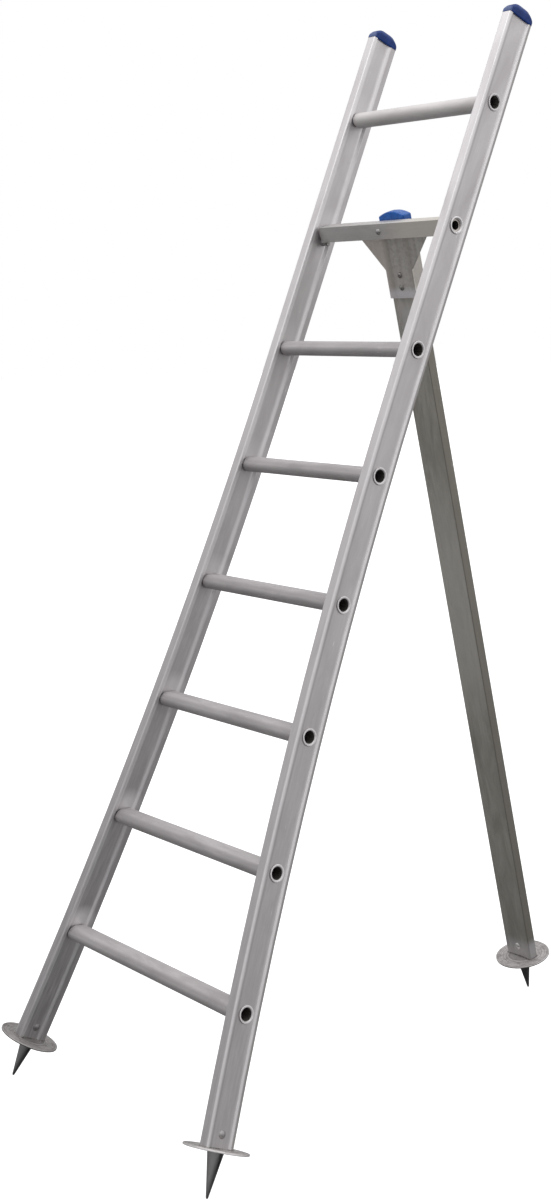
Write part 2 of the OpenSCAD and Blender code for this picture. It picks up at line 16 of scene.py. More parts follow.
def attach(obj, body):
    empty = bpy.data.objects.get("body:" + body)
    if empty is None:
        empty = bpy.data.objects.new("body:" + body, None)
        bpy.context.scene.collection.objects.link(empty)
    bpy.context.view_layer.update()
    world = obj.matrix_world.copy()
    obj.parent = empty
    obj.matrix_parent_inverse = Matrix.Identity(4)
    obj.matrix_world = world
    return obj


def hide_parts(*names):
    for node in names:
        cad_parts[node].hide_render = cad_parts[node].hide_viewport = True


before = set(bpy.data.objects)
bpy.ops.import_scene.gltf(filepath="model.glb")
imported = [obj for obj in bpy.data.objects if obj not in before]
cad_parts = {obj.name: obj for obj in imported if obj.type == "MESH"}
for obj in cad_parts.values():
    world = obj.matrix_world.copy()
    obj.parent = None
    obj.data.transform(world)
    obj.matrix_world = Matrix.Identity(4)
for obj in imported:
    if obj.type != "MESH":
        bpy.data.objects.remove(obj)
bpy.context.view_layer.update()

Span = tuple[float, float]
Vector3 = tuple[float, float, float]
Tree = bpy.types.NodeTree
Socket = bpy.types.NodeSocket

MM = 0.001
# Lean of the climbing side from upright, in degrees
LADDER_LEAN = 23.0
# Limits of a tone band that has none, the whole of a pattern, and the middle part of a cloudy one
ANYWHERE: Span = (-9999.0, 9999.0)
WHOLE: Span = (0.0, 1.0)
CLOUDY: Span = (0.3, 0.7)
LOG = logging.getLogger("orchard_ladder")

# Sockets of the Mix node that have no name of their own in its colour mode
MIX_FACTOR, MIX_A, MIX_B, MIX_RESULT = 0, 6, 7, 2


class Body(Enum):
    """The two bodies that the hinge joins."""

    LADDER = "ladder"
    LEG = "leg"


class Slot(Enum):
    """Material slots of the record."""

    ALUMINIUM = "aluminium"
    LEG_ALUMINIUM = "leg_aluminium"
    BLUE_PLASTIC = "blue_plastic"
    DISC_STEEL = "disc_steel"


class Side(Enum):
    """Left and right of the ladder, as the sign of X."""

    LEFT = -1
    RIGHT = 1

    @property
    def word(self) -> str:
        """Start of the names of this side's nodes."""
        return self.name.lower()


class Run(Enum):
    """Direction that a section was drawn in, in its own frame."""

    ALONG_X = 0
    ALONG_Z = 2


class Facing(Enum):
    """Axis of a tube's section that its two webs look along."""

    ACROSS = 0
    THROUGH = 1


class Ends(Enum):
    """How the first and last rows of a skin are closed."""

    RING = "ring"
    POLES = "poles"


def linear(colour: str) -> tuple[float, float, float, float]:
    """Turns an sRGB hex colour into linear RGBA.

    Args:
        colour: Six hex digits after a hash sign.

    Returns:
        Linear red, green, blue and an alpha of one.
    """
    channels = np.array([int(colour[k:k + 2], 16) for k in (1, 3, 5)]) / 255
    curve = np.where(channels <= 0.04045, channels / 12.92, ((channels + 0.055) / 1.055) ** 2.4)
    return (*curve.tolist(), 1.0)


def add_node(tree: Tree, kind: str, inputs: dict | None = None, **settings: object) -> bpy.types.Node:
    """Adds a node, gives it its settings, and sets or links its inputs.

    Args:
        tree: Node tree that takes the node.
        kind: Identifier of the node.
        inputs: Plain values, or output sockets to link, by the input's name or number.
        settings: The node's own properties.

    Returns:
        The new node.
    """
    node = tree.nodes.new(kind)
    for name, value in settings.items():
        setattr(node, name, value)
    for key, value in (inputs or {}).items():
        if isinstance(value, Socket):
            tree.links.new(value, node.inputs[key])
        else:
            node.inputs[key].default_value = value
    return node


@dataclass(frozen=True)
class Place:
    """A local frame that patterns and new pieces are laid out in.

    A point p of the frame, in millimetres, lies at Rx(lean) Ry(splay) p + origin.
    """

    origin: Vector3
    lean: float = 0.0
    splay: float = 0.0

    def rotation(self) -> np.ndarray:
        """Gives the frame's axes as the columns of a matrix."""
        lean = Matrix.Rotation(math.radians(self.lean), 3, "X")
        return np.array(lean @ Matrix.Rotation(math.radians(self.splay), 3, "Y"))

    def carry(self, points: np.ndarray) -> np.ndarray:
        """Puts points of this frame, in millimetres, into the scene.

        Args:
            points: Array whose last axis holds x, y and z.

        Returns:
            The same points in metres, in the scene's frame.
        """
        return (points @ self.rotation().T + np.array(self.origin)) * MM

    def inner(self, x: float, y: float, z: float, splay: float = 0.0) -> "Place":
        """Gives the frame whose origin is a point of this one, splayed about its Y axis.

        Args:
            x: Place of the new origin across this frame.
            y: Place of the new origin towards its back.
            z: Place of the new origin along its length.
            splay: Turn about Y in degrees.

        Returns:
            The new frame.
        """
        origin = self.carry(np.array((x, y, z))) / MM
        return Place(tuple(origin.tolist()), self.lean, splay)

    def coordinates(self, tree: Tree) -> Socket:
        """Gives Object coordinates in this frame, in millimetres.

        Args:
            tree: Node tree of the material.

        Returns:
            The socket that holds the coordinates.
        """
        source = add_node(tree, "ShaderNodeTexCoord")
        turn = Matrix(self.rotation().tolist()).to_euler("XYZ")
        mapping = add_node(
            tree, "ShaderNodeMapping",
            {
                "Vector": source.outputs["Object"],
                "Location": tuple(MM * v for v in self.origin),
                "Rotation": tuple(turn),
                "Scale": (MM, MM, MM),
            },
            vector_type="TEXTURE",
        )
        return mapping.outputs["Vector"]


@dataclass(frozen=True)
class SplayedPlace(Place):
    """The frame of the two stiles, whose patterns follow the outward bend of their lower half.

    Below the start of the splay, d away from it, the stile's middle moves out by d * d / (2 * radius).
    """

    half_spacing: float = 216.0
    start: float = 1340.0
    radius: float = 9340.0

    def coordinates(self, tree: Tree) -> Socket:
        """Gives coordinates across, through and along the bent stile, in millimetres.

        Args:
            tree: Node tree of the material.

        Returns:
            The socket that holds the coordinates.
        """
        axes = add_node(tree, "ShaderNodeSeparateXYZ", {0: super().coordinates(tree)}).outputs
        below = add_node(tree, "ShaderNodeMath", {0: self.start, 1: axes["Z"]}, operation="SUBTRACT")
        bent = add_node(tree, "ShaderNodeMath", {0: below.outputs[0], 1: 0.0}, operation="MAXIMUM")
        square = add_node(tree, "ShaderNodeMath", {0: bent.outputs[0], 1: 2.0}, operation="POWER")
        middle = add_node(
            tree, "ShaderNodeMath",
            {0: square.outputs[0], 1: 0.5 / self.radius, 2: self.half_spacing}, operation="MULTIPLY_ADD",
        )
        out = add_node(tree, "ShaderNodeMath", {0: axes["X"]}, operation="ABSOLUTE")
        across = add_node(tree, "ShaderNodeMath", {0: out.outputs[0], 1: middle.outputs[0]}, operation="SUBTRACT")
        bundle = add_node(
            tree, "ShaderNodeCombineXYZ", {"X": across.outputs[0], "Y": axes["Y"], "Z": axes["Z"]}
        )
        return bundle.outputs[0]


@dataclass(frozen=True)
class Ramp:
    """A pattern that fades from one share to another between two of its values."""

    value: Socket
    span: Span
    ends: Span = (0.0, 1.0)

    def inputs(self) -> dict[str, object]:
        """Gives the ramp as inputs of a Map Range node, which clips what lies past its ends."""
        (low, high), (start, end) = self.span, self.ends
        return {"Value": self.value, "From Min": low, "From Max": high, "To Min": start, "To Max": end}


def lay(tree: Tree, under: str | Socket, over: str, *ramps: Ramp) -> Socket:
    """Lays a colour over another, as far as the product of some ramps says.

    Args:
        tree: Node tree of the material.
        under: Hex colour or socket of what lies below.
        over: Hex colour of what lies on it.
        ramps: Ramps whose product is the share of the upper colour.

    Returns:
        The socket that holds the mixed colour.
    """
    share = 1.0
    for ramp in ramps:
        faded = add_node(tree, "ShaderNodeMapRange", ramp.inputs()).outputs["Result"]
        share = add_node(tree, "ShaderNodeMath", {0: share, 1: faded}, operation="MULTIPLY").outputs[0]
    lower = linear(under) if isinstance(under, str) else under
    mix = add_node(tree, "ShaderNodeMix", {MIX_FACTOR: share, MIX_A: lower, MIX_B: linear(over)}, data_type="RGBA")
    return mix.outputs[MIX_RESULT]


@dataclass(frozen=True)
class ToneBand:
    """A strip of a section, between limits across, through and along it, whose tone paints light or shade."""

    colour: str
    share: float
    across: Span = ANYWHERE
    through: Span = ANYWHERE
    # Whether the limits across count on both sides of the section's middle
    mirrored: bool = False
    soft: float = 0.8
    along: Span = ANYWHERE
    # Whether the limits count from the axis of the nearest tread, level through it and upright along it
    level: bool = False

    def ramps(self, tree: Tree, local: Socket) -> list[Ramp]:
        """Gives the ramps at the band's limits, whose product is the share of its tone.

        Args:
            tree: Node tree of the material.
            local: Coordinates in millimetres.

        Returns:
            One ramp for each limit; the first one carries the band's share.
        """
        axes = add_node(tree, "ShaderNodeSeparateXYZ", {0: local}).outputs
        across = axes["X"]
        if self.mirrored:
            across = add_node(tree, "ShaderNodeMath", {0: across}, operation="ABSOLUTE").outputs[0]
        limits = []
        for value, span in ((across, self.across), (axes["Y"], self.through), (axes["Z"], self.along)):
            if span != ANYWHERE:
                rise, fall = ((limit - self.soft, limit + self.soft) for limit in span)
                limits += [Ramp(value, rise), Ramp(value, fall, (1.0, 0.0))]
        limits[0] = replace(limits[0], ends=(0.0, self.share))
        return limits


@dataclass(frozen=True)
class Finish:
    """A surface finish, which makes its own node material."""

    name: str
    gloss: Span = (0.44, 0.56)
    metallic: float = 1.0

    def material(self, place: Place, tag: str = "") -> bpy.types.Material:
        """Makes the finish's material for pieces that lie in one frame.

        Args:
            place: Frame that the finish's patterns follow.
            tag: Word that tells apart materials of one finish in different frames.

        Returns:
            The material.
        """
        material = bpy.data.materials.new(f"{self.name}_{tag}" if tag else self.name)
        material.use_nodes = True
        tree = material.node_tree
        tree.nodes.clear()
        shader = add_node(tree, "ShaderNodeBsdfPrincipled")
        add_node(tree, "ShaderNodeOutputMaterial", {"Surface": shader.outputs["BSDF"]})
        self.dress(tree, shader, place)
        return material

    def dress(self, tree: Tree, shader: bpy.types.Node, place: Place) -> None:
        """Adds the finish's patterns to its shader, which each finish does in its own way."""
        raise NotImplementedError

    def cover(
        self, tree: Tree, shader: bpy.types.Node, colour: Socket, sheen: Socket, relief: Socket, depth: float,
        span: Span = CLOUDY,
    ) -> None:
        """Gives the shader its colour, its gloss and its relief.

        Args:
            tree: Node tree of the material.
            shader: The shader.
            colour: Its colour.
            sheen: Pattern that the gloss follows.
            relief: Pattern of the relief.
            depth: Depth of the relief in millimetres.
            span: Values of the sheen's pattern that reach the ends of the gloss.
        """
        rough = add_node(tree, "ShaderNodeMapRange", Ramp(sheen, span, self.gloss).inputs())
        bump = add_node(tree, "ShaderNodeBump", {"Strength": 1.0, "Distance": depth * MM, "Height": relief})
        tree.links.new(colour, shader.inputs["Base Color"])
        tree.links.new(rough.outputs["Result"], shader.inputs["Roughness"])
        tree.links.new(bump.outputs["Normal"], shader.inputs["Normal"])
        shader.inputs["Metallic"].default_value = self.metallic

    @staticmethod
    def pattern(tree: Tree, place: Socket, grain: Vector3, detail: float = 3.0, swirl: float = 0.0) -> Socket:
        """Gives a cloudy pattern of about 0 to 1 with a real grain size.

        Args:
            tree: Node tree of the material.
            place: Coordinates in millimetres.
            grain: Size of the pattern's grain along each axis, in millimetres.
            detail: Number of finer layers.
            swirl: How far the pattern is pulled about.

        Returns:
            The socket that holds the pattern.
        """
        sized = add_node(tree, "ShaderNodeVectorMath", {0: place, 1: grain}, operation="DIVIDE")
        noise = add_node(
            tree, "ShaderNodeTexNoise",
            {"Vector": sized.outputs[0], "Scale": 1.0, "Detail": detail, "Roughness": 0.6, "Distortion": swirl},
        )
        return noise.outputs["Fac"]


# Mill-finished extruded aluminium, and steel ground to a point: the die or the wheel leaves fine lines along the run,
# and handling and weather leave a thin cloudy oxide with a few light rub marks, so the metal shines softly along its
# length and never like a mirror. It is drawn darker towards the feet. Tone bands paint light and shade, the inside of
# open bores is painted shade, a patch of painted reflected light lies over each tread, and end faces carry painted
# highlights.
@dataclass(frozen=True)
class DrawnMetal(Finish):
    """Metal with tool lines, oxide clouds, rub marks, darkening towards the feet, and painted light and shade."""

    bright: str = "#E4E1E3"
    cloudy: str = "#CFCBCD"
    # Colour of rub marks, also laid as painted reflected light above the treads and painted highlights on end faces
    rub_and_sheen: str = "#EFEDEE"
    darkened: str = "#8F8B8A"
    run: Run = Run.ALONG_Z
    # Die lines are about 0.1 mm apart in truth; they are drawn coarser here so that they show
    line_width: float = 0.9
    line_length: float = 420.0
    line_depth: float = 0.022
    line_span: Span = (0.44, 0.74)
    line_share: float = 0.45
    cloud: float = 46.0
    cloud_stretch: float = 3.5
    cloud_span: Span = (0.38, 0.66)
    # Rub marks: their width and length, and the values of their pattern between which they show
    rub_size: Span = (2.2, 30.0)
    rub_span: Span = (0.68, 0.80)
    rub_share: float = 0.8
    # Heights between which the darkening towards the feet thins out, how much of it lies on the lower one, and the
    # size and depth of its spots
    low_dark_span: Span = (0.0, 1.0)
    low_dark_share: float = 0.0
    spot_size: Span = (5.0, 60.0)
    spot_span: Span = (0.34, 0.66)
    spot_least: float = 0.45
    # Radius of the painted shade inside bores, which lie one pitch apart along the frame
    bore: float = 0.0
    bore_edge: float = 0.5
    bore_pitch: float = 280.0
    bore_shade: str = "#7E7A78"
    # Painted reflected light from each tread on the inner web above it: middle height over the tread, radius of the
    # lit patch, share of the radius that is lit fully, places across the web, and heights over which the patches
    # start and grow faint
    lit_patch_height: float = 30.0
    lit_patch_radius: float = 0.0
    lit_patch_core: float = 0.3
    lit_patch_share: float = 0.9
    lit_patch_side: Span = (-6.0, -2.0)
    lit_patch_start: Span = (-90.0, -60.0)
    lit_patch_fade: Span = (100.0, 1200.0)
    lit_patch_least: float = 0.15
    bands: tuple[ToneBand, ...] = ()
    # Share of painted highlight on faces that look along X, and how far along X they have to look
    lip_highlight_share: float = 0.0
    lip_highlight_span: Span = (0.35, 0.75)

    def grain(self, across: float, along: float) -> Vector3:
        """Gives a grain that is long in the direction of the section's run."""
        return tuple(along if axis == self.run.value else across for axis in range(3))

    def about_tread(self, tree: Tree, local: Socket, height: float = 0.0) -> Socket:
        """Gives coordinates about the nearest cross axis that lies a height above a tread.

        Args:
            tree: Node tree of the material.
            local: Coordinates in millimetres.
            height: Height of the axis above the tread's own.

        Returns:
            The socket that holds the coordinates.
        """
        axes = add_node(tree, "ShaderNodeSeparateXYZ", {0: local}).outputs
        half = self.bore_pitch / 2
        near = add_node(
            tree, "ShaderNodeMath", {0: axes["Z"], 1: height + half, 2: height - half}, operation="WRAP"
        )
        up = add_node(tree, "ShaderNodeMath", {0: near.outputs[0], 1: height}, operation="SUBTRACT")
        bundle = add_node(tree, "ShaderNodeCombineXYZ", {"X": axes["X"], "Y": axes["Y"], "Z": up.outputs[0]})
        return bundle.outputs[0]

    def reach(self, tree: Tree, local: Socket, height: float = 0.0) -> Socket:
        """Gives the distance from the nearest cross axis that lies a height above a tread.

        Args:
            tree: Node tree of the material.
            local: Coordinates in millimetres.
            height: Height of the axis above the tread's own.

        Returns:
            The socket that holds the distance in the frame's Y and Z.
        """
        near = self.about_tread(tree, local, height)
        flat = add_node(tree, "ShaderNodeVectorMath", {0: near, 1: (0.0, 1.0, 1.0)}, operation="MULTIPLY")
        return add_node(tree, "ShaderNodeVectorMath", {0: flat.outputs[0]}, operation="LENGTH").outputs["Value"]

    def level(self, tree: Tree, local: Socket) -> Socket:
        """Gives level coordinates about the nearest tread.

        Args:
            tree: Node tree of the material.
            local: Coordinates in millimetres in the leaning ladder's frame.

        Returns:
            The socket that holds the places along the tread, level through it and upright.
        """
        turned = add_node(
            tree, "ShaderNodeVectorRotate",
            {"Vector": self.about_tread(tree, local), "Angle": -math.radians(LADDER_LEAN)}, rotation_type="X_AXIS",
        )
        return turned.outputs[0]

    def colour(self, tree: Tree, local: Socket, lines: Socket, clouds: Socket) -> Socket:
        """Gives the metal's colour: lines, clouds, rub marks, darkening towards the feet, and painted light and
        shade.

        Args:
            tree: Node tree of the material.
            local: Coordinates in millimetres.
            lines: Pattern of the tool lines.
            clouds: Pattern of the oxide.

        Returns:
            The socket that holds the colour.
        """
        axes = add_node(tree, "ShaderNodeSeparateXYZ", {0: local}).outputs
        shown = lay(tree, self.bright, self.cloudy, Ramp(clouds, self.cloud_span))
        shown = lay(tree, shown, self.cloudy, Ramp(lines, self.line_span, (0.0, self.line_share)))
        # Darker towards the feet, in spots
        if self.low_dark_share:
            spots = self.pattern(tree, local, self.grain(*self.spot_size), detail=6.0, swirl=0.4)
            shown = lay(
                tree, shown, self.darkened, Ramp(axes["Z"], self.low_dark_span, (self.low_dark_share, 0.0)),
                Ramp(spots, self.spot_span, (self.spot_least, 1.0)),
            )
        # Bands of painted light and shade
        for band in self.bands:
            place = self.level(tree, local) if band.level else local
            shown = lay(tree, shown, band.colour, *band.ramps(tree, place))
        # Painted reflected light from the tread below, on the inner web
        if self.lit_patch_radius:
            away = self.reach(tree, local, self.lit_patch_height)
            shown = lay(
                tree, shown, self.rub_and_sheen,
                Ramp(away, (self.lit_patch_core * self.lit_patch_radius, self.lit_patch_radius), (self.lit_patch_share, 0.0)),
                Ramp(axes["X"], self.lit_patch_side, (1.0, 0.0)),
                Ramp(axes["Z"], self.lit_patch_start),
                Ramp(axes["Z"], self.lit_patch_fade, (1.0, self.lit_patch_least)),
            )
        rubs = self.pattern(tree, local, self.grain(*self.rub_size), detail=2.0, swirl=0.3)
        shown = lay(tree, shown, self.rub_and_sheen, Ramp(rubs, self.rub_span, (0.0, self.rub_share)))
        # Painted highlight on faces that look along X
        if self.lip_highlight_share:
            faces = add_node(tree, "ShaderNodeTexCoord").outputs["Normal"]
            look = add_node(tree, "ShaderNodeSeparateXYZ", {0: faces}).outputs["X"]
            ends = add_node(tree, "ShaderNodeMath", {0: look}, operation="ABSOLUTE").outputs[0]
            shown = lay(tree, shown, self.rub_and_sheen, Ramp(ends, self.lip_highlight_span, (0.0, self.lip_highlight_share)))
        # Painted shade inside the bore
        if self.bore:
            inside = Ramp(self.reach(tree, local), (self.bore, self.bore + self.bore_edge), (1.0, 0.0))
            shown = lay(tree, shown, self.bore_shade, inside)
        return shown

    def dress(self, tree: Tree, shader: bpy.types.Node, place: Place) -> None:
        """Adds tool lines, oxide clouds, rub marks, darkening towards the feet, and painted light and shade.

        Args:
            tree: Node tree of the material.
            shader: The shader to dress.
            place: Frame of the section.
        """
        local = place.coordinates(tree)
        lines = self.pattern(tree, local, self.grain(self.line_width, self.line_length), detail=4.0)
        grain = self.grain(self.cloud, self.cloud_stretch * self.cloud)
        clouds = self.pattern(tree, local, grain, detail=5.0, swirl=0.6)
        self.cover(tree, shader, self.colour(tree, local, lines, clouds), clouds, lines, self.line_depth)


# Hot-dip galvanised sheet: zinc crystals a few millimetres across, each with its own grey, are run down with dull
# streaks, so the sheet is matt and speckled.
@dataclass(frozen=True)
class GalvanisedSheet(Finish):
    """Pressed steel sheet with a crystal zinc coat."""

    gloss: Span = (0.42, 0.58)
    light: str = "#DBD8D3"
    dark: str = "#CFCCC8"
    stain: str = "#A49D94"
    crystal: float = 6.0
    crystal_depth: float = 0.02
    streak: Vector3 = (36.0, 36.0, 900.0)
    streak_span: Span = (0.42, 0.66)
    streak_share: float = 0.8
    bands: tuple[ToneBand, ...] = ()

    def dress(self, tree: Tree, shader: bpy.types.Node, place: Place) -> None:
        """Adds zinc crystals, streaks and bands of painted light and shade.

        Args:
            tree: Node tree of the material.
            shader: The shader to dress.
            place: Frame of the sheet.
        """
        local = place.coordinates(tree)
        sized = add_node(tree, "ShaderNodeVectorMath", {0: local, 1: (self.crystal,) * 3}, operation="DIVIDE")
        crystals = add_node(
            tree, "ShaderNodeTexVoronoi", {"Vector": sized.outputs[0], "Scale": 1.0, "Randomness": 1.0}
        )
        shade = add_node(tree, "ShaderNodeSeparateColor", {0: crystals.outputs["Color"]}).outputs[0]
        streaks = self.pattern(tree, local, self.streak, detail=3.0, swirl=0.15)
        shown = lay(tree, self.light, self.dark, Ramp(shade, WHOLE))
        shown = lay(tree, shown, self.stain, Ramp(streaks, self.streak_span, (0.0, self.streak_share)))
        for band in self.bands:
            shown = lay(tree, shown, band.colour, *band.ramps(tree, local))
        self.cover(tree, shader, shown, shade, shade, self.crystal_depth, WHOLE)


# Spun and turned metal: the tool leaves rings round the axis, and soil and rust leave darker clouds over them.
@dataclass(frozen=True)
class TurnedMetal(Finish):
    """Metal with tool rings round the Z axis of its frame."""

    gloss: Span = (0.48, 0.62)
    light: str = "#CBC7C7"
    dark: str = "#8F8B8B"
    darkened: str = "#76706E"
    # The outer wall of a disc, from this radius on and below these heights, takes a tone of painted light: shade
    # where the tone is dark, a highlight where it is light
    rim: float = 64.4
    rim_soft: float = 1.2
    rim_top: Span = (-0.9, -0.3)
    rim_share: float = 0.85
    rim_painted_shading: str = "#6A6665"
    # Tool rings are about 0.2 mm apart in truth; they are drawn coarser here so that they show
    ring: float = 1.6
    ring_span: Span = (0.35, 0.65)
    ring_depth: float = 0.05
    cloud: float = 16.0
    cloud_span: Span = (0.48, 0.75)
    cloud_share: float = 0.8

    def dress(self, tree: Tree, shader: bpy.types.Node, place: Place) -> None:
        """Adds tool rings, soil and painted shading on the rim's outer wall.

        Args:
            tree: Node tree of the material.
            shader: The shader to dress.
            place: Frame whose Z axis is the turning axis.
        """
        local = place.coordinates(tree)
        flat = add_node(tree, "ShaderNodeVectorMath", {0: local, 1: (1.0, 1.0, 0.0)}, operation="MULTIPLY")
        reach = add_node(tree, "ShaderNodeVectorMath", {0: flat.outputs[0]}, operation="LENGTH").outputs["Value"]
        step = add_node(tree, "ShaderNodeMath", {0: reach, 1: self.ring}, operation="DIVIDE")
        rings = add_node(
            tree, "ShaderNodeTexNoise", {"W": step.outputs[0], "Scale": 1.0, "Detail": 2.0}, noise_dimensions="1D"
        ).outputs["Fac"]
        clouds = self.pattern(tree, local, (self.cloud,) * 3, detail=5.0, swirl=0.5)
        height = add_node(tree, "ShaderNodeSeparateXYZ", {0: local}).outputs["Z"]
        shown = lay(tree, self.light, self.dark, Ramp(rings, self.ring_span))
        shown = lay(tree, shown, self.darkened, Ramp(clouds, self.cloud_span, (0.0, self.cloud_share)))
        # Painted shading on the rim's outer wall
        shown = lay(
            tree, shown, self.rim_painted_shading, Ramp(reach, (self.rim, self.rim + self.rim_soft), (0.0, self.rim_share)),
            Ramp(height, self.rim_top, (1.0, 0.0)),
        )
        self.cover(tree, shader, shown, clouds, rings, self.ring_depth)


# Barrel-plated zinc, or a bead of filler metal: a bright skin that is uneven from grain to grain, duller where it is
# soiled.
@dataclass(frozen=True)
class GrainyMetal(Finish):
    """Small bright metal parts with an uneven skin."""

    gloss: Span = (0.36, 0.52)
    light: str = "#C2C1C0"
    dark: str = "#6A6866"
    grain: float = 3.0
    grain_span: Span = (0.40, 0.66)
    depth: float = 0.05

    def dress(self, tree: Tree, shader: bpy.types.Node, place: Place) -> None:
        """Adds the uneven skin.

        Args:
            tree: Node tree of the material.
            shader: The shader to dress.
            place: Frame of the piece.
        """
        grains = self.pattern(tree, place.coordinates(tree), (self.grain,) * 3, detail=4.0, swirl=0.4)
        shown = lay(tree, self.light, self.dark, Ramp(grains, self.grain_span))
        self.cover(tree, shader, shown, grains, grains, self.depth)


# Injection-moulded polypropylene or nylon: colour all through, a satin skin with a fine spark-eroded grain, and pale
# scuffs where it has been knocked.
@dataclass(frozen=True)
class MouldedPlastic(Finish):
    """Coloured plastic from a grained mould."""

    gloss: Span = (0.26, 0.40)
    metallic: float = 0.0
    colour: str = "#1C64BC"
    shade: str = "#1654A4"
    # Colour of scuffs, also laid on the front end as a painted reflection
    scuff: str = "#6C94CC"
    # Mould grain is about 0.15 mm in truth; it is drawn coarser here so that it shows
    grain: float = 0.7
    depth: float = 0.012
    flow: float = 14.0
    flow_span: Span = (0.35, 0.65)
    knock: Vector3 = (1.4, 9.0, 4.0)
    knock_span: Span = (0.68, 0.78)
    knock_share: float = 0.5
    ior: float = 1.49
    shine: float = 0.5
    # Share of painted reflection that lightens the front end, and the places through the piece between which it fades
    front_sheen_share: float = 0.0
    front_sheen_span: Span = (-35.0, -31.0)

    def dress(self, tree: Tree, shader: bpy.types.Node, place: Place) -> None:
        """Adds mould grain, flow shades, scuffs and a painted reflection on the front end.

        Args:
            tree: Node tree of the material.
            shader: The shader to dress.
            place: Frame of the piece.
        """
        local = place.coordinates(tree)
        fine = self.pattern(tree, local, (self.grain,) * 3, detail=2.0)
        flow = self.pattern(tree, local, (self.flow,) * 3, detail=3.0, swirl=0.6)
        knocks = self.pattern(tree, local, self.knock, detail=2.0, swirl=0.5)
        shown = lay(tree, self.colour, self.shade, Ramp(flow, self.flow_span))
        shown = lay(tree, shown, self.scuff, Ramp(knocks, self.knock_span, (0.0, self.knock_share)))
        # Painted reflection on the front end
        if self.front_sheen_share:
            through = add_node(tree, "ShaderNodeSeparateXYZ", {0: local}).outputs["Y"]
            shown = lay(tree, shown, self.scuff, Ramp(through, self.front_sheen_span, (self.front_sheen_share, 0.0)))
        self.cover(tree, shader, shown, flow, fine, self.depth)
        shader.inputs["IOR"].default_value = self.ior
        shader.inputs["Specular IOR Level"].default_value = self.shine


# Outer and inner web of a stile, as places across it
OUTSIDE: Span = (8.0, 20.0)
INSIDE: Span = (-20.0, -8.0)
STILE_ALUMINIUM = DrawnMetal(
    "mill_finish_aluminium", cloudy="#D6D2D4", darkened="#8B8A8C", low_dark_span=(-300.0, 1500.0), low_dark_share=0.48,
    lit_patch_radius=36.0,
    # Bands of painted shade on face, webs, rear edges and beside the front rims, and painted highlights on rims and
    # steps
    bands=(
        ToneBand("#C9C5C7", 0.30, through=(-40.0, -33.5)),
        ToneBand("#ACA8A8", 0.42, OUTSIDE, (-28.0, 19.0), soft=2.0),
        ToneBand("#ACA8A8", 0.42, INSIDE, (-28.0, 9.0), soft=2.0),
        ToneBand("#8F8B8B", 0.38, OUTSIDE, (-28.0, -21.5), soft=1.8),
        ToneBand("#F6F4F5", 0.58, OUTSIDE, (22.0, 27.0), soft=1.2),
        ToneBand("#A6A2A2", 0.90, OUTSIDE, (28.0, 60.0)),
        ToneBand("#FBFAFA", 0.50, INSIDE, (-29.0, -22.5), soft=2.4),
        ToneBand("#F6F4F5", 0.46, INSIDE, (11.5, 18.5), soft=2.2),
        ToneBand("#A8A4A4", 0.45, INSIDE, (21.0, 60.0), soft=1.5),
        ToneBand("#EBE9EA", 0.65, (10.0, 20.0), (-60.0, -30.0), mirrored=True, soft=1.5),
    ),
)
# The left stile is darker towards its foot than the right one
LEFT_STILE_ALUMINIUM = replace(STILE_ALUMINIUM, name="darker_below_mill_finish_aluminium", low_dark_share=0.88)
TREAD_ALUMINIUM = DrawnMetal(
    "oval_tread_aluminium", bright="#D4D0D1", cloudy="#BFBBBC", run=Run.ALONG_X, line_width=1.1,
    gloss=(0.60, 0.72), bore=13.4, lip_highlight_share=0.9,
    # The band paints shade on the upper front of each tread
    bands=(ToneBand("#A8A4A5", 0.60, through=(-40.0, -8.0), soft=2.0, along=(7.0, 14.0), level=True),),
)
# A lighter, rougher copy of the tread finish, for the top tread
TOP_TREAD_ALUMINIUM = DrawnMetal(
    "lighter_top_tread_aluminium", bright="#ECE9E9", cloudy="#E2DFDE", run=Run.ALONG_X, line_width=1.1,
    gloss=(0.76, 0.86), bore=13.4, lip_highlight_share=0.9,
)
# Its end faces carry painted highlights
SLEEVE_ALUMINIUM = DrawnMetal(
    "flared_sleeve_aluminium", run=Run.ALONG_X, line_width=1.1, gloss=(0.46, 0.58), lip_highlight_share=0.9
)
LEG_ALUMINIUM = DrawnMetal(
    "dull_leg_aluminium", bright="#D0CDC5", cloudy="#B2AFA7", rub_and_sheen="#D8D6D0", cloud=34.0, gloss=(0.42, 0.56),
    darkened="#7E7B75", low_dark_span=(-1840.0, -1560.0), low_dark_share=0.4,
    # The bands paint light on the middle, above the foot and below the bracket, and shade on the narrow sides
    bands=(
        ToneBand("#F2EFE9", 0.50, along=(-1120.0, -650.0), soft=120.0),
        ToneBand("#86827B", 0.95, (38.6, 60.0), mirrored=True),
        ToneBand("#D3D2D6", 0.55, along=(-1850.0, -1792.0), soft=9.0),
        ToneBand("#E4E2E2", 0.60, (-30.0, 60.0), along=(-262.0, -172.0), soft=16.0),
    ),
)
BEAM_ALUMINIUM = DrawnMetal(
    "hinge_beam_aluminium", bright="#DCD9D8", cloudy="#C6C3C2", run=Run.ALONG_X, gloss=(0.44, 0.58), bore=9.7,
    # The band paints light on the right-hand part of the beam; the bore is painted shade
    bore_pitch=4000.0, bands=(ToneBand("#F0EAE0", 0.6, across=(40.0, 400.0), soft=45.0),),
)
BRACKET_ZINC = GalvanisedSheet(
    "galvanised_bracket_sheet",
    # The bands paint light on the left wing and the strip's lower end, and shade on the side flanges
    bands=(
        ToneBand("#FFF5EE", 0.60, (-140.0, -34.0), soft=12.0),
        ToneBand("#FAF8FF", 0.60, along=(-170.0, -138.0), soft=7.0),
        ToneBand("#B6B1AB", 1.00, through=(25.5, 90.0), soft=1.5),
    ),
)
FOOT_DISC_ZINC = TurnedMetal("spun_disc_zinc", light="#BDB9B9", dark="#858181")
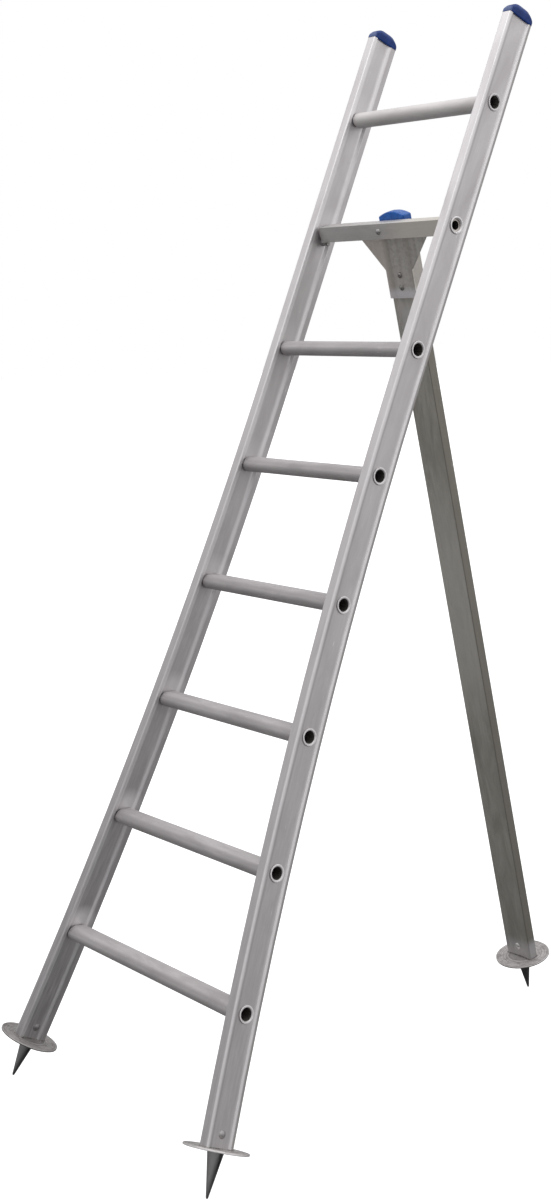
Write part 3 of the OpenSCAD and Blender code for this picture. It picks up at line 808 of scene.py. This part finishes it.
# Lighter copies for the right and leg discs paint their light; the right rim's white wall is a painted highlight
RIGHT_DISC_ZINC = replace(
    FOOT_DISC_ZINC, name="lit_right_spun_disc_zinc", light="#DBD7D7", dark="#A8A4A4", darkened="#8E8888",
    rim_painted_shading="#FFFBFC",
)
LEG_DISC_ZINC = replace(
    FOOT_DISC_ZINC, name="lit_leg_spun_disc_zinc", light="#D4D0D0", dark="#9B9797", darkened="#817B79"
)
SPIKE_STEEL = DrawnMetal(
    "ground_spike_steel", bright="#6A696A", cloudy="#403E3F", rub_and_sheen="#8E8D8D", line_width=2.4, line_length=70.0,
    cloud=10.0, gloss=(0.28, 0.46), line_depth=0.06,
)
# The band paints light on the front of the two stile spikes
FRONT_SPIKE_STEEL = replace(
    SPIKE_STEEL, name="front_lit_spike_steel", bands=(ToneBand("#D0CECE", 0.44, through=(-40.0, -4.5), soft=3.0),)
)
FASTENER_ZINC = GrainyMetal("zinc_plated_fastener_steel")
LEG_BOLT_ZINC = replace(FASTENER_ZINC, name="soiled_fastener_steel", light="#B1AEAB", dark="#5E5A57")
RIVET_ALUMINIUM = GrainyMetal(
    "aluminium_rivet_head", light="#ABA9A9", dark="#807D7D", grain=7.0, gloss=(0.40, 0.52)
)
WELD_METAL = GrainyMetal(
    "aluminium_weld_metal", light="#A3A09D", dark="#5F5C58", grain=4.5, gloss=(0.40, 0.58), depth=0.12
)
# A darker copy of the rivet finish for the left foot
LEFT_RIVET_ALUMINIUM = replace(RIVET_ALUMINIUM, name="darker_aluminium_rivet_head", light="#989696", dark="#625F5F")
# A lighter, glossier copy of the rivet finish for the leg, whose light colour paints the rivet's highlight
LEG_RIVET_ALUMINIUM = replace(
    RIVET_ALUMINIUM, name="bright_aluminium_rivet_head", light="#F4F3F2", dark="#C4C1C0", gloss=(0.20, 0.30)
)
# A darker copy of the weld metal paints the shade in the crease where a tube meets its disc
DARK_WELD_METAL = replace(WELD_METAL, name="dark_aluminium_weld_metal", light="#908D8B", dark="#55524F")
# A darker blue than the leg cap, for the stile caps, with a painted reflection on their front ends
STILE_CAP_PLASTIC = MouldedPlastic(
    "darker_blue_polypropylene", colour="#0F3B88", shade="#0B2E70", scuff="#8D9CC0", gloss=(0.34, 0.48),
    shine=0.3, front_sheen_share=0.34,
)
LEG_CAP_PLASTIC = MouldedPlastic("blue_polypropylene")
PLUG_NYLON = MouldedPlastic(
    "black_nylon", colour="#232325", shade="#18181A", scuff="#4C4C4E", gloss=(0.38, 0.54), ior=1.53
)


def rounded_outline(half_width: float, half_depth: float, corner: float, count: int) -> np.ndarray:
    """Gives a rounded rectangle as evenly spaced points, anticlockwise from its right-hand side.

    Each corner is a quarter circle about its own centre; the points are then spaced evenly by the length walked along
    the closed line.

    Args:
        half_width: Half of the size along x.
        half_depth: Half of the size along y.
        corner: Radius of the corners.
        count: Number of points.

    Returns:
        Array of count rows of x and y.
    """
    steps = 9
    turn = (np.linspace(0, math.pi / 2, steps) + np.arange(4)[:, None] * math.pi / 2).ravel()
    middle_x = np.repeat((1, -1, -1, 1), steps) * (half_width - corner)
    middle_y = np.repeat((1, 1, -1, -1), steps) * (half_depth - corner)
    ring = np.column_stack((middle_x + corner * np.cos(turn), middle_y + corner * np.sin(turn)))
    closed = np.vstack((ring, ring[:1]))
    walked = np.concatenate(((0.0,), np.cumsum(np.hypot(*np.diff(closed, axis=0).T))))
    at = np.linspace(0, walked[-1], count, endpoint=False)
    return np.column_stack([np.interp(at, walked, closed[:, axis]) for axis in (0, 1)])


def skin(name: str, rows: np.ndarray, ends: Ends) -> bpy.types.Object:
    """Makes a closed mesh from a grid of points whose columns close on themselves.

    Quad (i, j) joins rows i and i + 1 with columns j and j + 1. A ring joins its last row to its first, and poles
    close the first and last rows with a fan on the row's middle.

    Args:
        name: Name of the piece.
        rows: Points in metres, as rows by columns by x, y and z.
        ends: How the first and last rows are closed.

    Returns:
        The new object, smooth shaded, in the scene.
    """
    count, columns = rows.shape[:2]
    i, j = np.indices((count if ends is Ends.RING else count - 1, columns))
    below, above, beside = i * columns, (i + 1) % count * columns, (j + 1) % columns
    faces = np.stack((below + j, below + beside, above + beside, above + j), axis=-1).reshape(-1, 4).tolist()
    points = rows.reshape(-1, 3)
    if ends is Ends.POLES:
        ring = np.arange(columns)
        beyond = np.roll(ring, -1)
        low, high = len(points), len(points) + 1
        last = (count - 1) * columns
        faces += np.column_stack((np.full(columns, low), beyond, ring)).tolist()
        faces += np.column_stack((np.full(columns, high), last + ring, last + beyond)).tolist()
        points = np.vstack((points, rows[0].mean(axis=0), rows[-1].mean(axis=0)))
    mesh = bpy.data.meshes.new(name)
    mesh.from_pydata(points.tolist(), [], faces)
    mesh.shade_smooth()
    piece = bpy.data.objects.new(name, mesh)
    bpy.context.scene.collection.objects.link(piece)
    return piece


def wear(node: str, material: bpy.types.Material) -> None:
    """Gives a CAD node a material.

    Args:
        node: Name of the node.
        material: The material.
    """
    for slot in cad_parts[node].material_slots:
        slot.material = material
    LOG.info("%s wears %s", node, material.name)


def add_piece(
    piece: bpy.types.Object, body: Body, material: bpy.types.Material, replaced: str | None = None
) -> None:
    """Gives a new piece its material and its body.

    Args:
        piece: The new object.
        body: Body that it rides on.
        material: Its material.
        replaced: CAD node that it stands for, if any.
    """
    piece.data.materials.append(material)
    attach(piece, body.value)
    if replaced:
        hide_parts(replaced)
    LOG.info("%s rides on %s in %s", piece.name, body.value, material.name)


@dataclass(frozen=True)
class DomedCap:
    """A moulded cap on a tube end: an upright wall, a rounded edge and a crown that is arched both ways."""

    half_width: float
    half_depth: float
    corner: float
    wall: float = 10.4
    long_rise: float = 16.3
    short_rise: float = 8.0
    power: float = 2.8
    edge: float = 5.0
    least_corner: float = 0.4
    # How far the two rows of the underside lie in; the last one is also the height of its rounding
    underside: Span = (1.5, 0.3)
    # Rows of the wall and of the crown, as shares of the wall's height and of the way out from the middle
    wall_rows: tuple[float, ...] = (0.0, 0.33, 0.67)
    crown_rows: tuple[float, ...] = (0.94, 0.86, 0.76, 0.64, 0.5, 0.36, 0.22, 0.1)
    edge_rows: int = 7
    columns: int = 168

    def crown(self, x: np.ndarray, y: np.ndarray) -> np.ndarray:
        """Gives the crown's height above the tube end.

        The crown drops from its top by its rise times |u|^power along the cap, and likewise across it, where u is the
        share of the half size. The two drops join as the square root of the sum of their squares, which rounds the
        ridge between them.

        Args:
            x: Places across the cap.
            y: Places through the cap.

        Returns:
            Heights in millimetres.
        """
        wide = self.half_width > self.half_depth
        rises = (self.long_rise, self.short_rise) if wide else (self.short_rise, self.long_rise)
        shares = (np.minimum(np.abs(x) / self.half_width, 1), np.minimum(np.abs(y) / self.half_depth, 1))
        drops = [rise * share ** self.power for rise, share in zip(rises, shares)]
        return self.wall + self.long_rise - np.hypot(*drops)

    def outline(self, inset: float) -> np.ndarray:
        """Gives the cap's outline, moved inwards by inset."""
        corner = max(self.corner - inset, self.least_corner)
        return rounded_outline(self.half_width - inset, self.half_depth - inset, corner, self.columns)

    def rows(self) -> np.ndarray:
        """Gives the cap's surface from the middle of its underside to its top.

        The underside and the wall are copies of the outline. The edge is the parabola
        (1-t)^2 A + 2t(1-t) B + t^2 C, with A on the wall, C on the crown and B where wall and crown would meet, so it
        leaves the wall upright and joins the crown along its slope. The crown's rows are the inset outline shrunk
        towards the middle and lifted onto the crown.

        Returns:
            Rows of points in millimetres, with the tube end at z = 0.
        """
        outer, inner = self.outline(0.0), self.outline(self.edge)
        rim = self.crown(*outer.T)
        below, corner = np.column_stack((outer, rim - self.edge)), np.column_stack((outer, rim))
        above = np.column_stack((inner, self.crown(*inner.T)))
        rows = [np.column_stack((self.outline(inset), np.zeros(self.columns))) for inset in self.underside]
        start = self.underside[-1]
        for share in self.wall_rows:
            rows.append(np.column_stack((outer, start + share * (rim - self.edge - start))))
        for t in np.linspace(0, 1, self.edge_rows):
            rows.append((1 - t) ** 2 * below + 2 * t * (1 - t) * corner + t ** 2 * above)
        for share in self.crown_rows:
            spot = inner * share
            rows.append(np.column_stack((spot, self.crown(*spot.T))))
        return np.stack(rows)


@dataclass(frozen=True)
class FootDisc:
    """A ground disc: a spun plate with a raised edge and shallow pressed rings."""

    radius: float = 67.0
    thickness: float = 3.0
    rim_width: float = 4.0
    rim_height: float = 1.6
    ring_radii: tuple[float, ...] = (57.0, 50.0, 43.0, 36.0)
    ring_width: float = 5.0
    ring_height: float = 1.1
    # Radii of the flat underside, rounding of its edge, and radius of the top's innermost row
    under: Span = (8.0, 40.0)
    edge: float = 1.2
    hub: float = 6.0
    # Share of the half wave at which the raised edge starts, and the power that fills it out
    rim_start: float = 0.12
    rim_power: float = 0.8
    rim_rows: int = 7
    top_rows: int = 70
    columns: int = 144

    def rows(self) -> np.ndarray:
        """Gives the plate's skin as a profile turned about the axis.

        The profile runs from the middle of the underside round the edge to the middle of the top. The raised edge is
        part of a half sine wave, to a power below one. On the top each pressed ring adds a raised cosine of its own
        width and height.

        Returns:
            Rows of points in millimetres, with the top of the plate at z = 0.
        """
        top = np.linspace(self.radius - self.rim_width, self.hub, self.top_rows)
        lift = np.zeros_like(top)
        for ring in self.ring_radii:
            near = np.clip(np.abs(top - ring) / (self.ring_width / 2), 0, 1)
            lift += self.ring_height * (1 + np.cos(math.pi * near)) / 2
        bow = np.linspace(0, 1, self.rim_rows)
        rim_r = self.radius - self.rim_width * bow
        wave = np.sin(math.pi * (self.rim_start + (1 - self.rim_start) * bow))
        rim_z = self.rim_height * np.maximum(wave, 0) ** self.rim_power
        side_r = (*self.under, self.radius - self.edge, self.radius - self.edge / 4, self.radius)
        side_z = np.array((0, 0, 0, self.edge / 3, self.edge)) - self.thickness
        r = np.concatenate((side_r, rim_r, top[1:]))
        z = np.concatenate((side_z, rim_z, lift[1:]))
        turn = np.linspace(0, 2 * math.pi, self.columns, endpoint=False)
        grid = np.ones((len(r), self.columns))
        return np.stack((r[:, None] * np.cos(turn), r[:, None] * np.sin(turn), z[:, None] * grid), axis=-1)


@dataclass(frozen=True)
class WeldBead:
    """A fillet bead of overlapping drops round a tube that stands on a disc."""

    half_width: float
    half_depth: float
    corner: float
    # Depth of the two webs, the axis they look along, the width of the rims beside them and of the slopes between
    recess: float
    facing: Facing
    rim: float
    slope: float = 2.5
    size: float = 2.1
    pitch: float = 3.4
    swell: float = 0.22
    overlap: float = 0.16
    # Slow waves of the bead's size: share of it, waves in one round, and phase
    wander: tuple[tuple[float, int, float], ...] = ((0.10, 3, 0.0), (0.07, 7, 1.3))
    # How far the bead reaches below the disc's top
    sunk: float = 1.5
    # How near to a face a point of the outline has to lie to be on it
    touch: float = 0.01
    columns: int = 14
    steps: int = 520

    def path(self) -> np.ndarray:
        """Gives the tube's outline, with its two webs set back between their rims.

        On the faces that carry a web, points further than a rim from both ends move in by the recess, over the length
        of the slope.

        Returns:
            Rows of x and y in millimetres.
        """
        line = rounded_outline(self.half_width, self.half_depth, self.corner, self.steps)
        axis = self.facing.value
        face, along = line[:, axis], line[:, 1 - axis]
        half = (self.half_width, self.half_depth)
        inward = np.clip((half[1 - axis] - self.rim - np.abs(along)) / self.slope, 0, 1)
        on_face = np.isclose(np.abs(face), half[axis], rtol=0, atol=self.touch)
        line[:, axis] = face - np.sign(face) * self.recess * inward * on_face
        return line

    def rows(self) -> np.ndarray:
        """Gives the bead: a round section carried along the outline, swelling once for each drop.

        At a length s along the path and an angle v round the section, the radius is
        size * (1 + swell * |sin(pi * (s / pitch + overlap * cos v))| - swell / 2 + wander), so the drops lie over one
        another. The wander is a sum of slow sine waves round the outline.

        Returns:
            Rows of points in millimetres, with the disc's top at z = 0.
        """
        line = self.path()
        ahead = np.roll(line, -1, axis=0) - np.roll(line, 1, axis=0)
        ahead /= np.linalg.norm(ahead, axis=1, keepdims=True)
        outward = np.column_stack((ahead[:, 1], -ahead[:, 0]))
        length = np.linalg.norm(np.diff(np.vstack((line, line[:1])), axis=0), axis=1).sum()
        drops = round(length / self.pitch)
        phase = np.linspace(0, drops, self.steps, endpoint=False)[:, None]
        angle = -np.linspace(0, 2 * math.pi, self.columns, endpoint=False)[None, :]
        wave = np.abs(np.sin(math.pi * (phase + self.overlap * np.cos(angle))))
        round_trip = 2 * math.pi * phase / drops
        wander = sum(share * np.sin(waves * round_trip + start) for share, waves, start in self.wander)
        radius = self.size * (1 + self.swell * (wave - 0.5) + wander)
        side = radius * np.cos(angle)
        x = line[:, :1] + outward[:, :1] * side
        y = line[:, 1:] + outward[:, 1:] * side
        return np.stack((x, y, np.maximum(radius * np.sin(angle), -self.sunk)), axis=-1)


@dataclass(frozen=True)
class FootFinishes:
    """What the pieces of one foot are finished in."""

    disc: Finish
    weld: Finish
    spike: Finish
    rivet: Finish


LEFT_FOOT = FootFinishes(FOOT_DISC_ZINC, DARK_WELD_METAL, FRONT_SPIKE_STEEL, LEFT_RIVET_ALUMINIUM)
RIGHT_FOOT = FootFinishes(RIGHT_DISC_ZINC, WELD_METAL, FRONT_SPIKE_STEEL, RIVET_ALUMINIUM)
LEG_FOOT = FootFinishes(LEG_DISC_ZINC, DARK_WELD_METAL, SPIKE_STEEL, LEG_RIVET_ALUMINIUM)


@dataclass(frozen=True)
class Foot:
    """The lower end of a tube, with +Z of its frame up the tube and the disc's top at its origin."""

    word: str
    body: Body
    tube_slot: Slot
    place: Place
    bead: WeldBead
    finishes: FootFinishes
    disc: FootDisc = FootDisc()

    def build(self) -> None:
        """Builds the disc and its weld, and dresses the spike, the plug and the rivet."""
        word, place, finishes = self.word, self.place, self.finishes
        disc = skin(f"{word}_spun_disc", place.carry(self.disc.rows()), Ends.POLES)
        add_piece(disc, self.body, finishes.disc.material(place, word), f"{word}_foot_disc")
        weld = skin(f"{word}_foot_weld", place.carry(self.bead.rows()), Ends.RING)
        add_piece(weld, self.body, finishes.weld.material(place, word))
        wear(f"{word}_spike", finishes.spike.material(place, word))
        wear(f"{word}_foot_plug", PLUG_NYLON.material(place, f"{word}_foot"))
        wear(f"{word}_foot_rivet", finishes.rivet.material(place, f"{word}_foot_rivet"))


@dataclass(frozen=True)
class LadderFrame:
    """The climbing side: two splayed stiles, seven treads, the hinge's sleeves and pins, caps and feet."""

    lean: float = LADDER_LEAN
    bottom_rung_y: float = -511.081
    bottom_rung_z: float = 324.800
    half_spacing: float = 216.0
    stile_top: float = 2153.0
    foot_x: float = 353.906
    foot_drop: float = 259.0
    splay: float = 9.858
    half_width: float = 12.5
    half_depth: float = 35.0
    corner: float = 3.0
    web_recess: float = 3.0
    web_rim: float = 9.0
    # How far a cap stands out from the stile
    overhang: float = 0.6
    treads: tuple[str, ...] = ("rung_1", "rung_2", "rung_3", "rung_4", "rung_5", "rung_6")

    @property
    def place(self) -> Place:
        """The ladder's own frame, with its origin on the bottom rung."""
        return Place((0.0, self.bottom_rung_y, self.bottom_rung_z), -self.lean)

    def build(self) -> None:
        """Builds and dresses the climbing side."""
        self.dress_metal()
        for side, finishes in ((Side.LEFT, LEFT_FOOT), (Side.RIGHT, RIGHT_FOOT)):
            self.build_cap(side)
            self.build_foot(side, finishes)

    def dress_metal(self) -> None:
        """Dresses the stiles, the treads and the hinge's fixed parts."""
        bent = SplayedPlace(self.place.origin, self.place.lean, half_spacing=self.half_spacing)
        stiles = {Side.LEFT: LEFT_STILE_ALUMINIUM, Side.RIGHT: STILE_ALUMINIUM}
        tread = TREAD_ALUMINIUM.material(self.place)
        sleeve = SLEEVE_ALUMINIUM.material(self.place)
        pin = FASTENER_ZINC.material(self.place, "stop_pins")
        for name in self.treads:
            wear(name, tread)
        wear("top_rung", TOP_TREAD_ALUMINIUM.material(self.place))
        for side in Side:
            wear(f"{side.word}_stile", stiles[side].material(bent))
            wear(f"{side.word}_hinge_sleeve", sleeve)
            wear(f"{side.word}_stop_pin", pin)

    def build_cap(self, side: Side) -> None:
        """Builds the cap on one stile.

        Args:
            side: Left or right.
        """
        place = self.place.inner(side.value * self.half_spacing, 0.0, self.stile_top)
        cap = DomedCap(self.half_width + self.overhang, self.half_depth + self.overhang, self.corner + self.overhang)
        piece = skin(f"{side.word}_domed_cap", place.carry(cap.rows()), Ends.POLES)
        material = STILE_CAP_PLASTIC.material(place, f"{side.word}_stile")
        add_piece(piece, Body.LADDER, material, f"{side.word}_stile_cap")

    def build_foot(self, side: Side, finishes: FootFinishes) -> None:
        """Builds the foot of one stile.

        Args:
            side: Left or right.
            finishes: What its pieces are finished in.
        """
        place = self.place.inner(side.value * self.foot_x, 0.0, -self.foot_drop, -side.value * self.splay)
        bead = WeldBead(
            self.half_width, self.half_depth, self.corner, self.web_recess, Facing.ACROSS, self.web_rim
        )
        Foot(side.word, Body.LADDER, Slot.ALUMINIUM, place, bead, finishes).build()


@dataclass(frozen=True)
class RearLeg:
    """The swinging leg with its hinge beam, its bracket and its foot."""

    lean: float = 13.5
    hinge_y: float = 145.347
    hinge_z: float = 1871.249
    offset: float = 36.0
    top_rise: float = 10.0
    cap_wall: float = 15.0
    cap_rise: float = 11.2
    cap_short_rise: float = 2.0
    cap_power: float = 1.6
    cap_edge: float = 2.2
    end_drop: float = 1837.99
    half_width: float = 40.0
    half_depth: float = 12.5
    corner: float = 3.0
    web_recess: float = 1.2
    web_rim: float = 13.0
    # How far the cap stands out from the tube
    overhang: float = 0.6

    @property
    def place(self) -> Place:
        """The leg's own frame, with its origin on the hinge axis."""
        return Place((0.0, self.hinge_y, self.hinge_z), self.lean)

    def build(self) -> None:
        """Builds and dresses the leg."""
        self.dress_hinge()
        self.build_cap()
        self.build_foot()

    def dress_hinge(self) -> None:
        """Dresses the leg's tube, the beam, the bracket and what fastens them."""
        wear("rear_leg", LEG_ALUMINIUM.material(self.place))
        beam = BEAM_ALUMINIUM.material(self.place)
        nylon = PLUG_NYLON.material(self.place, "hinge")
        zinc = FASTENER_ZINC.material(self.place, "leg_fasteners")
        wear("hinge_beam", beam)
        wear("hinge_axle", beam)
        wear("leg_bracket", BRACKET_ZINC.material(self.place))
        for side in Side:
            wear(f"{side.word}_beam_plug", nylon)
            wear(f"{side.word}_spacer", beam)
        for name in ("beam_bolt", "beam_nut", "leg_nuts"):
            wear(name, zinc)
        wear("leg_bolts", LEG_BOLT_ZINC.material(self.place))

    def build_cap(self) -> None:
        """Builds the cap on the leg."""
        place = self.place.inner(0.0, self.offset, self.top_rise)
        cap = DomedCap(
            self.half_width + self.overhang, self.half_depth + self.overhang, self.corner + self.overhang,
            wall=self.cap_wall, long_rise=self.cap_rise, short_rise=self.cap_short_rise, power=self.cap_power,
            edge=self.cap_edge,
        )
        piece = skin("leg_domed_cap", place.carry(cap.rows()), Ends.POLES)
        add_piece(piece, Body.LEG, LEG_CAP_PLASTIC.material(place, "leg"), "leg_cap")

    def build_foot(self) -> None:
        """Builds the leg's foot."""
        place = self.place.inner(0.0, self.offset, -self.end_drop)
        bead = WeldBead(
            self.half_width, self.half_depth, self.corner, self.web_recess, Facing.THROUGH, self.web_rim
        )
        Foot("leg", Body.LEG, Slot.LEG_ALUMINIUM, place, bead, LEG_FOOT).build()


@dataclass(frozen=True)
class Studio:
    """A pale sweep, soft light from all round and above, and the camera."""

    floor_half: float = 40.0
    floor_colour: str = "#A8A8A8"
    floor_glow: float = 0.93
    floor_roughness: float = 0.9
    # Light of the sky by height: 0 is straight below, 0.5 the horizon and 1 straight above
    sky: tuple[Span, ...] = (
        (0.0, 0.17), (0.30, 0.21), (0.42, 0.32), (0.50, 0.40), (0.57, 0.46), (0.64, 0.60), (0.80, 0.95), (1.0, 1.0),
    )
    # A bright wall: the way to it, and the cosines from it between which its light grows
    wall_way: Vector3 = (0.71, 0.56, 0.43)
    wall_span: Span = (0.52, 0.97)
    wall_glow: float = 0.42
    sky_strength: float = 1.0
    key_place: Vector3 = (-0.6, -1.2, 4.6)
    key_target: Vector3 = (0.0, 0.0, 1.0)
    key_size: float = 3.0
    key_power: float = 25.0
    camera_place: Vector3 = (2.99222, -2.53378, 1.68859)
    yaw: float = 51.7167
    pitch: float = 9.0840
    roll: float = 0.5877
    lens: float = 53.50
    sensor: float = 36.0

    def build(self) -> None:
        """Builds the light, the floor and the camera."""
        self.build_sky()
        self.build_key()
        self.build_floor()
        self.build_camera()

    def build_sky(self) -> None:
        """Builds a sky that is white to the eye and lights by height, with a bright wall at the back right."""
        world = bpy.data.worlds.new("studio_sky")
        bpy.context.scene.world = world
        world.use_nodes = True
        tree = world.node_tree
        tree.nodes.clear()
        source = add_node(tree, "ShaderNodeTexCoord")
        height = add_node(tree, "ShaderNodeSeparateXYZ", {0: source.outputs["Generated"]}).outputs["Z"]
        share = add_node(tree, "ShaderNodeMath", {0: height, 1: 0.5, 2: 0.5}, operation="MULTIPLY_ADD")
        ramp = add_node(tree, "ShaderNodeValToRGB", {"Fac": share.outputs[0]})
        stops = ramp.color_ramp.elements
        for position, value in self.sky[1:-1]:
            stops.new(position).color = (value, value, value, 1.0)
        for stop, (position, value) in zip((stops[0], stops[len(stops) - 1]), (self.sky[0], self.sky[-1])):
            stop.position, stop.color = position, (value, value, value, 1.0)
        facing = add_node(
            tree, "ShaderNodeVectorMath", {0: source.outputs["Generated"], 1: self.wall_way}, operation="DOT_PRODUCT"
        )
        growth = Ramp(facing.outputs["Value"], self.wall_span, (0.0, self.wall_glow))
        wall = add_node(tree, "ShaderNodeMapRange", growth.inputs(), interpolation_type="SMOOTHSTEP")
        level = add_node(tree, "ShaderNodeMath", {0: ramp.outputs["Color"], 1: wall.outputs[0]}, operation="ADD")
        glow = add_node(tree, "ShaderNodeBackground", {"Color": level.outputs[0], "Strength": self.sky_strength})
        white = add_node(tree, "ShaderNodeBackground", {"Color": (1.0, 1.0, 1.0, 1.0)})
        seen = add_node(tree, "ShaderNodeLightPath").outputs["Is Camera Ray"]
        both = add_node(tree, "ShaderNodeMixShader", {0: seen, 1: glow.outputs[0], 2: white.outputs[0]})
        add_node(tree, "ShaderNodeOutputWorld", {"Surface": both.outputs[0]})

    def build_key(self) -> None:
        """Builds a large soft light over the front left."""
        lamp = bpy.data.lights.new("key_light", "AREA")
        lamp.size, lamp.energy = self.key_size, self.key_power
        key = bpy.data.objects.new("key_light", lamp)
        key.location = self.key_place
        away = np.array(self.key_place) - np.array(self.key_target)
        key.rotation_euler = (math.atan2(math.hypot(away[0], away[1]), away[2]), 0.0, math.atan2(away[0], -away[1]))
        bpy.context.scene.collection.objects.link(key)

    def build_floor(self) -> None:
        """Builds a pale floor, which metal and undersides do not see, so that they keep their depth."""
        half = self.floor_half
        mesh = bpy.data.meshes.new("studio_floor")
        corners = [(-half, -half, 0), (half, -half, 0), (half, half, 0), (-half, half, 0)]
        mesh.from_pydata(corners, [], [(0, 1, 2, 3)])
        floor = bpy.data.objects.new("studio_floor", mesh)
        bpy.context.scene.collection.objects.link(floor)
        material = bpy.data.materials.new("pale_studio_paper")
        material.use_nodes = True
        shader = material.node_tree.nodes["Principled BSDF"]
        shader.inputs["Base Color"].default_value = linear(self.floor_colour)
        shader.inputs["Roughness"].default_value = self.floor_roughness
        shader.inputs["Emission Color"].default_value = (1.0, 1.0, 1.0, 1.0)
        shader.inputs["Emission Strength"].default_value = self.floor_glow
        mesh.materials.append(material)
        floor.visible_glossy = False
        floor.visible_diffuse = False

    def build_camera(self) -> None:
        """Builds the camera where the photograph was taken from."""
        lens = bpy.data.cameras.new("camera")
        lens.lens, lens.sensor_width, lens.sensor_fit = self.lens, self.sensor, "AUTO"
        camera = bpy.data.objects.new("camera", lens)
        aim = Euler((math.pi / 2 - math.radians(self.pitch), 0.0, math.radians(self.yaw))).to_matrix()
        turned = aim @ Matrix.Rotation(-math.radians(self.roll), 3, "Z")
        camera.matrix_world = Matrix.Translation(self.camera_place) @ turned.to_4x4()
        bpy.context.scene.collection.objects.link(camera)
        bpy.context.scene.camera = camera
        bpy.context.scene.view_settings.view_transform = "Standard"


def main() -> None:
    """Builds the studio, the climbing side and the leg."""
    logging.basicConfig(level=logging.INFO, format="%(message)s")
    for part in (Studio(), LadderFrame(), RearLeg()):
        part.build()
        LOG.info("%s is built", type(part).__name__)


if __name__ == "__main__":
    main()
